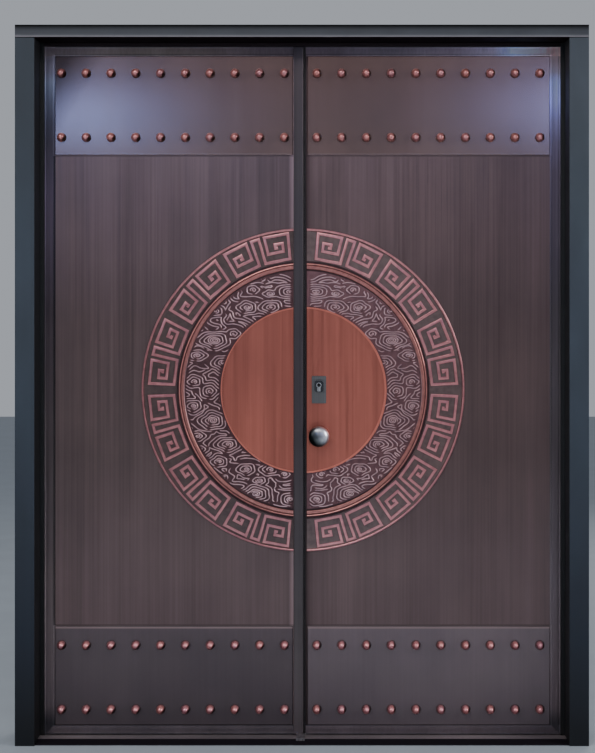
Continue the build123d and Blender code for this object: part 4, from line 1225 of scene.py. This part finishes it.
def on_face(angle, radius, side):
    """A place on the medallion: degrees from the top, millimetres from its middle."""
    turn = math.radians(angle)
    reach = radius * MM * (1 + RING_STRETCH * math.cos(2 * turn))
    return MEDALLION_X + SIDES[side] * reach * math.sin(turn), MEDALLION_Z + reach * math.cos(turn)


def beyond_cut(point, side, margin):
    """Whether a place is farther from the seam than a leaf's cut edge, by a margin."""
    return SIDES[side] * (point[0] - MEDALLION_X) > CUT[side] + margin


class DOOR_OT_fret_ring(bpy.types.Operator):
    """Carves the ring of key pattern, with its rim bead, on both leaves"""

    bl_idname = "door.fret_ring"
    bl_label = "Key pattern ring"

    def execute(self, context):
        relief, finish = context.scene.door_relief, context.scene.door_finish
        ground, crest = PANEL_Y - relief.ground_depth, CREST_Y
        outer = FRET_RADIUS
        section = [
            (FRET_INNER, PANEL_Y), (FRET_INNER, ground), (outer - 11.5 * MM, ground),
            (outer - 9.5 * MM, ground - 1.2 * MM), (outer - 8.0 * MM, ground),
            (outer - 7.2 * MM, crest + 1.0 * MM), (outer - 5.5 * MM, crest), (outer - 3.0 * MM, crest),
            (outer - 1.0 * MM, crest + 1.4 * MM), (outer, PANEL_Y),
        ]
        for side in SIDES:
            # The right leaf's brighter ground is painted reflection
            material = relief_finish(
                f"fret_wiped_copper_{side}", finish.patina, finish.copper_dark, finish.copper_light,
                crest + 1.0 * MM, ground, RELIEF_TONE_AND_SHEEN[side],
            )
            shell = Shell()
            shell.add_loops(half_ring_loops(side, section, relief.ring_steps, outer - RIM))
            for middle in FRET_LINKS:
                path = [on_face(middle - angle, radius, side) for angle, radius in FRET_PATH]
                path += [on_face(middle + angle, radius, side) for angle, radius in reversed(FRET_PATH)]
                rise = ground - crest - 1.0 * MM
                shell.add_loops(swept_loops(path, relief.bar_width, rise, ground, FLAT_BAR))
            name = f"key_pattern_{side}"
            shell.piece(name, f"{side}_leaf", material, "relief_copper", f"fret_ring_{side}")
        return {"FINISHED"}


class DOOR_OT_cloud_ring(bpy.types.Operator):
    """Carves the ring of clouds, with the copper band round it, on both leaves"""

    bl_idname = "door.cloud_ring"
    bl_label = "Cloud ring"

    def execute(self, context):
        relief, finish = context.scene.door_relief, context.scene.door_finish
        ground, crest = PANEL_Y - relief.ground_depth, CREST_Y
        inner = DISC_RADIUS + 0.5 * MM
        section = [
            (inner, PANEL_Y), (inner, ground), (BAND_FOOT, ground), (407.2 * MM, crest + 1.2 * MM),
            (409 * MM, crest), (417 * MM, crest), (419 * MM, crest + 1.3 * MM),
            (420.5 * MM, ground - 0.4 * MM), (422 * MM, crest + 1.4 * MM), (424 * MM, crest + 0.7 * MM),
            (426.5 * MM, crest + 1.6 * MM), (428 * MM, ground), (CLOUD_OUTER, ground),
            (CLOUD_OUTER, PANEL_Y),
        ]
        reach_in = inner + 2.5 * MM
        lines = cloud_lines()
        for side in SIDES:
            # The right leaf's brighter ground is painted reflection
            material = relief_finish(
                f"cloud_wiped_copper_{side}", finish.cloud_dark, finish.copper_dark, finish.cloud_light,
                ground - relief.line_rise, ground, CLOUD_TONE_AND_SHEEN[side], band=(BAND_SPLIT, BAND_COPPER),
            )
            shell = Shell()
            shell.add_loops(half_ring_loops(side, section, relief.ring_steps))
            for line in lines:
                run = []
                for across, up in line:
                    place = (MEDALLION_X - SIDES[side] * across * MM, MEDALLION_Z + up * MM)
                    reach = math.hypot(place[0] - MEDALLION_X, place[1] - MEDALLION_Z)
                    if reach_in < reach < CLOUD_END and beyond_cut(place, side, 3.0 * MM):
                        run.append(place)
                    else:
                        self.close_run(shell, run, relief, ground)
                        run = []
                self.close_run(shell, run, relief, ground)
            name = f"cloud_carving_{side}"
            shell.piece(name, f"{side}_leaf", material, "relief_copper", f"cloud_ring_{side}")
        return {"FINISHED"}

    def close_run(self, shell, run, relief, ground):
        """Carves one unbroken stretch of a line, unless it is a mere speck."""
        if len(run) >= STRETCH_POINTS:
            loops = swept_loops(run, relief.line_width, relief.line_rise, ground, ROUND_LINE, taper=2)
            shell.add_loops(loops)


class DOOR_OT_discs(bpy.types.Operator):
    """Gives the two halves of the plain disc brushed copper"""

    bl_idname = "door.discs"
    bl_label = "Discs"

    def execute(self, context):
        colour = context.scene.door_finish.disc
        # The disc gets a painted highlight round its edge
        copper = brushed_finish(
            "brushed_disc_copper", scaled(colour, 0.78), scaled(colour, 1.22), 0.36, 0.8, 170.0, 14.0, 0.14,
            edge_highlight=(DISC_RADIUS - 3.2 * MM, scaled(colour, 1.7)),
        )
        dress(["disc_left", "disc_right"], copper)
        return {"FINISHED"}


class DOOR_OT_furniture(bpy.types.Operator):
    """Makes the knobs and roses, and gives the lock plates, the guard and the cylinder their finish"""

    bl_idname = "door.furniture"
    bl_label = "Lock furniture"

    def execute(self, context):
        steps = context.scene.door_relief.knob_steps
        # The knob gets painted shade on its left and a painted highlight on its upper right
        chrome = brushed_finish(
            "knob_dark_chrome", (0.27, 0.27, 0.28), (0.31, 0.31, 0.325), 0.34, 1.0, 60.0, 20.0, 0.0,
            uneven=0.1, painted_shading=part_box("outside_knob"),
        )
        rose = brushed_finish(
            "rose_dark_bronze", (0.05, 0.035, 0.03), (0.16, 0.10, 0.085), 0.35, 0.85, 120.0, 30.0,
        )
        for node, facing in (("outside_knob", -1), ("inside_knob", 1)):
            radius, reach, centre = self.turned(node, facing)
            profile = [(0.37 * radius, 0.0), (0.30 * radius, 0.25 * NECK), (0.30 * radius, 0.75 * NECK)]
            profile += [(share * radius, NECK + out * (reach - NECK)) for out, share in KNOB_HEAD]
            shell = Shell()
            shell.add_loops(lathe_loops(centre, profile, steps, facing))
            shell.piece(f"turned_{node}", "knob", chrome, "knob_chrome", node)
        for node, facing in (("outside_rose", -1), ("inside_rose", 1)):
            radius, reach, centre = self.turned(node, facing)
            section = [
                (ROSE_BORE, 0.0), (radius, 0.0), (radius, 0.35 * reach), (0.955 * radius, 0.62 * reach),
                (0.86 * radius, 0.80 * reach), (0.62 * radius, reach), (ROSE_BORE, reach),
            ]
            rings = lathe_loops(centre, section, steps, facing)
            turned = [[ring[k] for ring in rings] for k in range(steps)]
            shell = Shell()
            shell.add_loops(turned, closed=True)
            shell.piece(f"turned_{node}", "right_leaf", rose, "rose_bronze", node)
        for nodes, *look in LOCK_METALS:
            dress(nodes, brushed_finish(*look))
        dress(["cylinder_guard"], painted_finish("guard_satin_black", (0.010, 0.011, 0.014), 0.28))
        dress(["thumb_turn"], chrome)
        return {"FINISHED"}

    def turned(self, node, facing):
        """The radius of a turned piece, how far it stands out, and the middle of its foot."""
        low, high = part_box(node)
        foot = high.y if facing < 0 else low.y
        return (high.x - low.x) / 2, high.y - low.y, ((low.x + high.x) / 2, foot, (low.z + high.z) / 2)


class DOOR_OT_stage(bpy.types.Operator):
    """Sets the pale floor, the soft lights and the camera"""

    bl_idname = "door.stage"
    bl_label = "Stage"

    def execute(self, context):
        stage = context.scene.door_stage
        half = stage.floor_size / 2
        mesh = bpy.data.meshes.new("floor")
        corners = [(-half, -half, 0), (half, -half, 0), (half, half, 0), (-half, half, 0)]
        mesh.from_pydata(corners, [], [(0, 1, 2, 3)])
        floor = bpy.data.objects.new("floor", mesh)
        context.scene.collection.objects.link(floor)
        finish = Finish("pale_floor", 0.0, 0.8)
        stops = ((0.3, scaled(stage.floor_colour, 0.96)), (0.7, scaled(stage.floor_colour, 1.04)))
        finish.feed("Base Color", finish.ramp(finish.noise((4.0, 4.0, 4.0), 6.0), *stops))
        mesh.materials.append(finish.material)

        world = bpy.data.worlds.new("soft_sky")
        world.use_nodes = True
        sky = world.node_tree.nodes["Background"]
        sky.inputs["Color"].default_value = (*stage.sky_colour, 1.0)
        sky.inputs["Strength"].default_value = stage.sky_strength
        context.scene.world = world

        fill, corner = stage.fill_power, stage.corner_power
        middle = (0.0, 0.0, 1.25)
        cool, warm = (0.93, 0.96, 1.0), (1.0, 0.98, 0.96)
        pale, dull = (1.0, 0.97, 0.95), (1.0, 0.98, 0.97)
        blue, deep = (0.25, 0.41, 0.95), (0.20, 0.41, 0.97)
        lights = (
            ("main_light", (-1.0, -3.4, 4.3), (0.0, -2.0, 0.0), (3.0, 1.6), stage.key_power, pale),
            ("floor_light", (0.0, -2.9, 3.2), (0.0, -2.9, 0.0), (3.6, 1.4), stage.floor_power, dull, 75.0),
            ("side_light_left", (-4.6, -3.4, 2.2), middle, (1.6, 2.6), fill, cool),
            ("side_light_right", (4.4, -2.4, 2.7), middle, (1.4, 2.0), fill * 2.6, cool),
            ("corner_light_left", (-1.76, -6.4, 2.83), (-0.8, 0.0, 2.15), (0.6, 0.34), corner * 0.66, deep),
            ("corner_light_right", (1.88, -6.4, 2.89), (0.85, 0.0, 2.2), (0.26, 0.36), corner * 0.53, blue),
            ("back_light", (2.5, 4.5, 3.6), middle, (2.6, 2.0), fill * 2.0, warm),
        )
        for light in lights:
            self.light(context, *light)

        camera = bpy.data.cameras.new("photo_camera")
        camera.lens = stage.lens
        camera.sensor_width = 36.0
        camera.shift_x = stage.shift_x
        camera.shift_y = stage.shift_y
        view = bpy.data.objects.new("photo_camera", camera)
        view.location = (stage.eye_across, -stage.eye_distance, stage.eye_height)
        view.rotation_euler = (math.radians(90), 0.0, 0.0)
        context.scene.collection.objects.link(view)
        context.scene.camera = view
        return {"FINISHED"}

    def light(self, context, name, place, target, size, power, colour, spread=180.0):
        """An area light that looks at a target; spread is the angle of its beam in degrees."""
        lamp = bpy.data.lights.new(name, "AREA")
        lamp.shape = "RECTANGLE"
        lamp.size, lamp.size_y = size
        lamp.energy = power
        lamp.spread = math.radians(spread)
        lamp.color = colour
        item = bpy.data.objects.new(name, lamp)
        item.location = place
        item.rotation_euler = (Vector(target) - Vector(place)).to_track_quat("-Z", "Y").to_euler()
        context.scene.collection.objects.link(item)


class DOOR_PT_panel(bpy.types.Panel):
    bl_idname = "DOOR_PT_panel"
    bl_label = "Double Security Door"
    bl_space_type = "VIEW_3D"
    bl_region_type = "UI"
    bl_category = "Door"

    def draw(self, context):
        layout = self.layout
        for group in (context.scene.door_stage, context.scene.door_finish, context.scene.door_relief):
            for key in group.__annotations__:
                layout.prop(group, key)
        for operator in OPERATORS:
            layout.operator(operator.bl_idname)


SETTINGS = {
    "door_stage": DoorStageSettings, "door_finish": DoorFinishSettings, "door_relief": DoorReliefSettings,
}
OPERATORS = (
    DOOR_OT_frame, DOOR_OT_leaves, DOOR_OT_studs, DOOR_OT_fret_ring, DOOR_OT_cloud_ring, DOOR_OT_discs,
    DOOR_OT_furniture, DOOR_OT_stage,
)


def register():
    for group in SETTINGS.values():
        bpy.utils.register_class(group)
    for name, group in SETTINGS.items():
        setattr(bpy.types.Scene, name, bpy.props.PointerProperty(type=group))
    for operator in OPERATORS:
        bpy.utils.register_class(operator)
    bpy.utils.register_class(DOOR_PT_panel)


def unregister():
    bpy.utils.unregister_class(DOOR_PT_panel)
    for operator in reversed(OPERATORS):
        bpy.utils.unregister_class(operator)
    for name, group in SETTINGS.items():
        delattr(bpy.types.Scene, name)
        bpy.utils.unregister_class(group)


def main():
    register()
    bpy.ops.door.frame()
    bpy.ops.door.leaves()
    bpy.ops.door.studs()
    bpy.ops.door.fret_ring()
    bpy.ops.door.cloud_ring()
    bpy.ops.door.discs()
    bpy.ops.door.furniture()
    bpy.ops.door.stage()


if __name__ == "__main__":
    main()
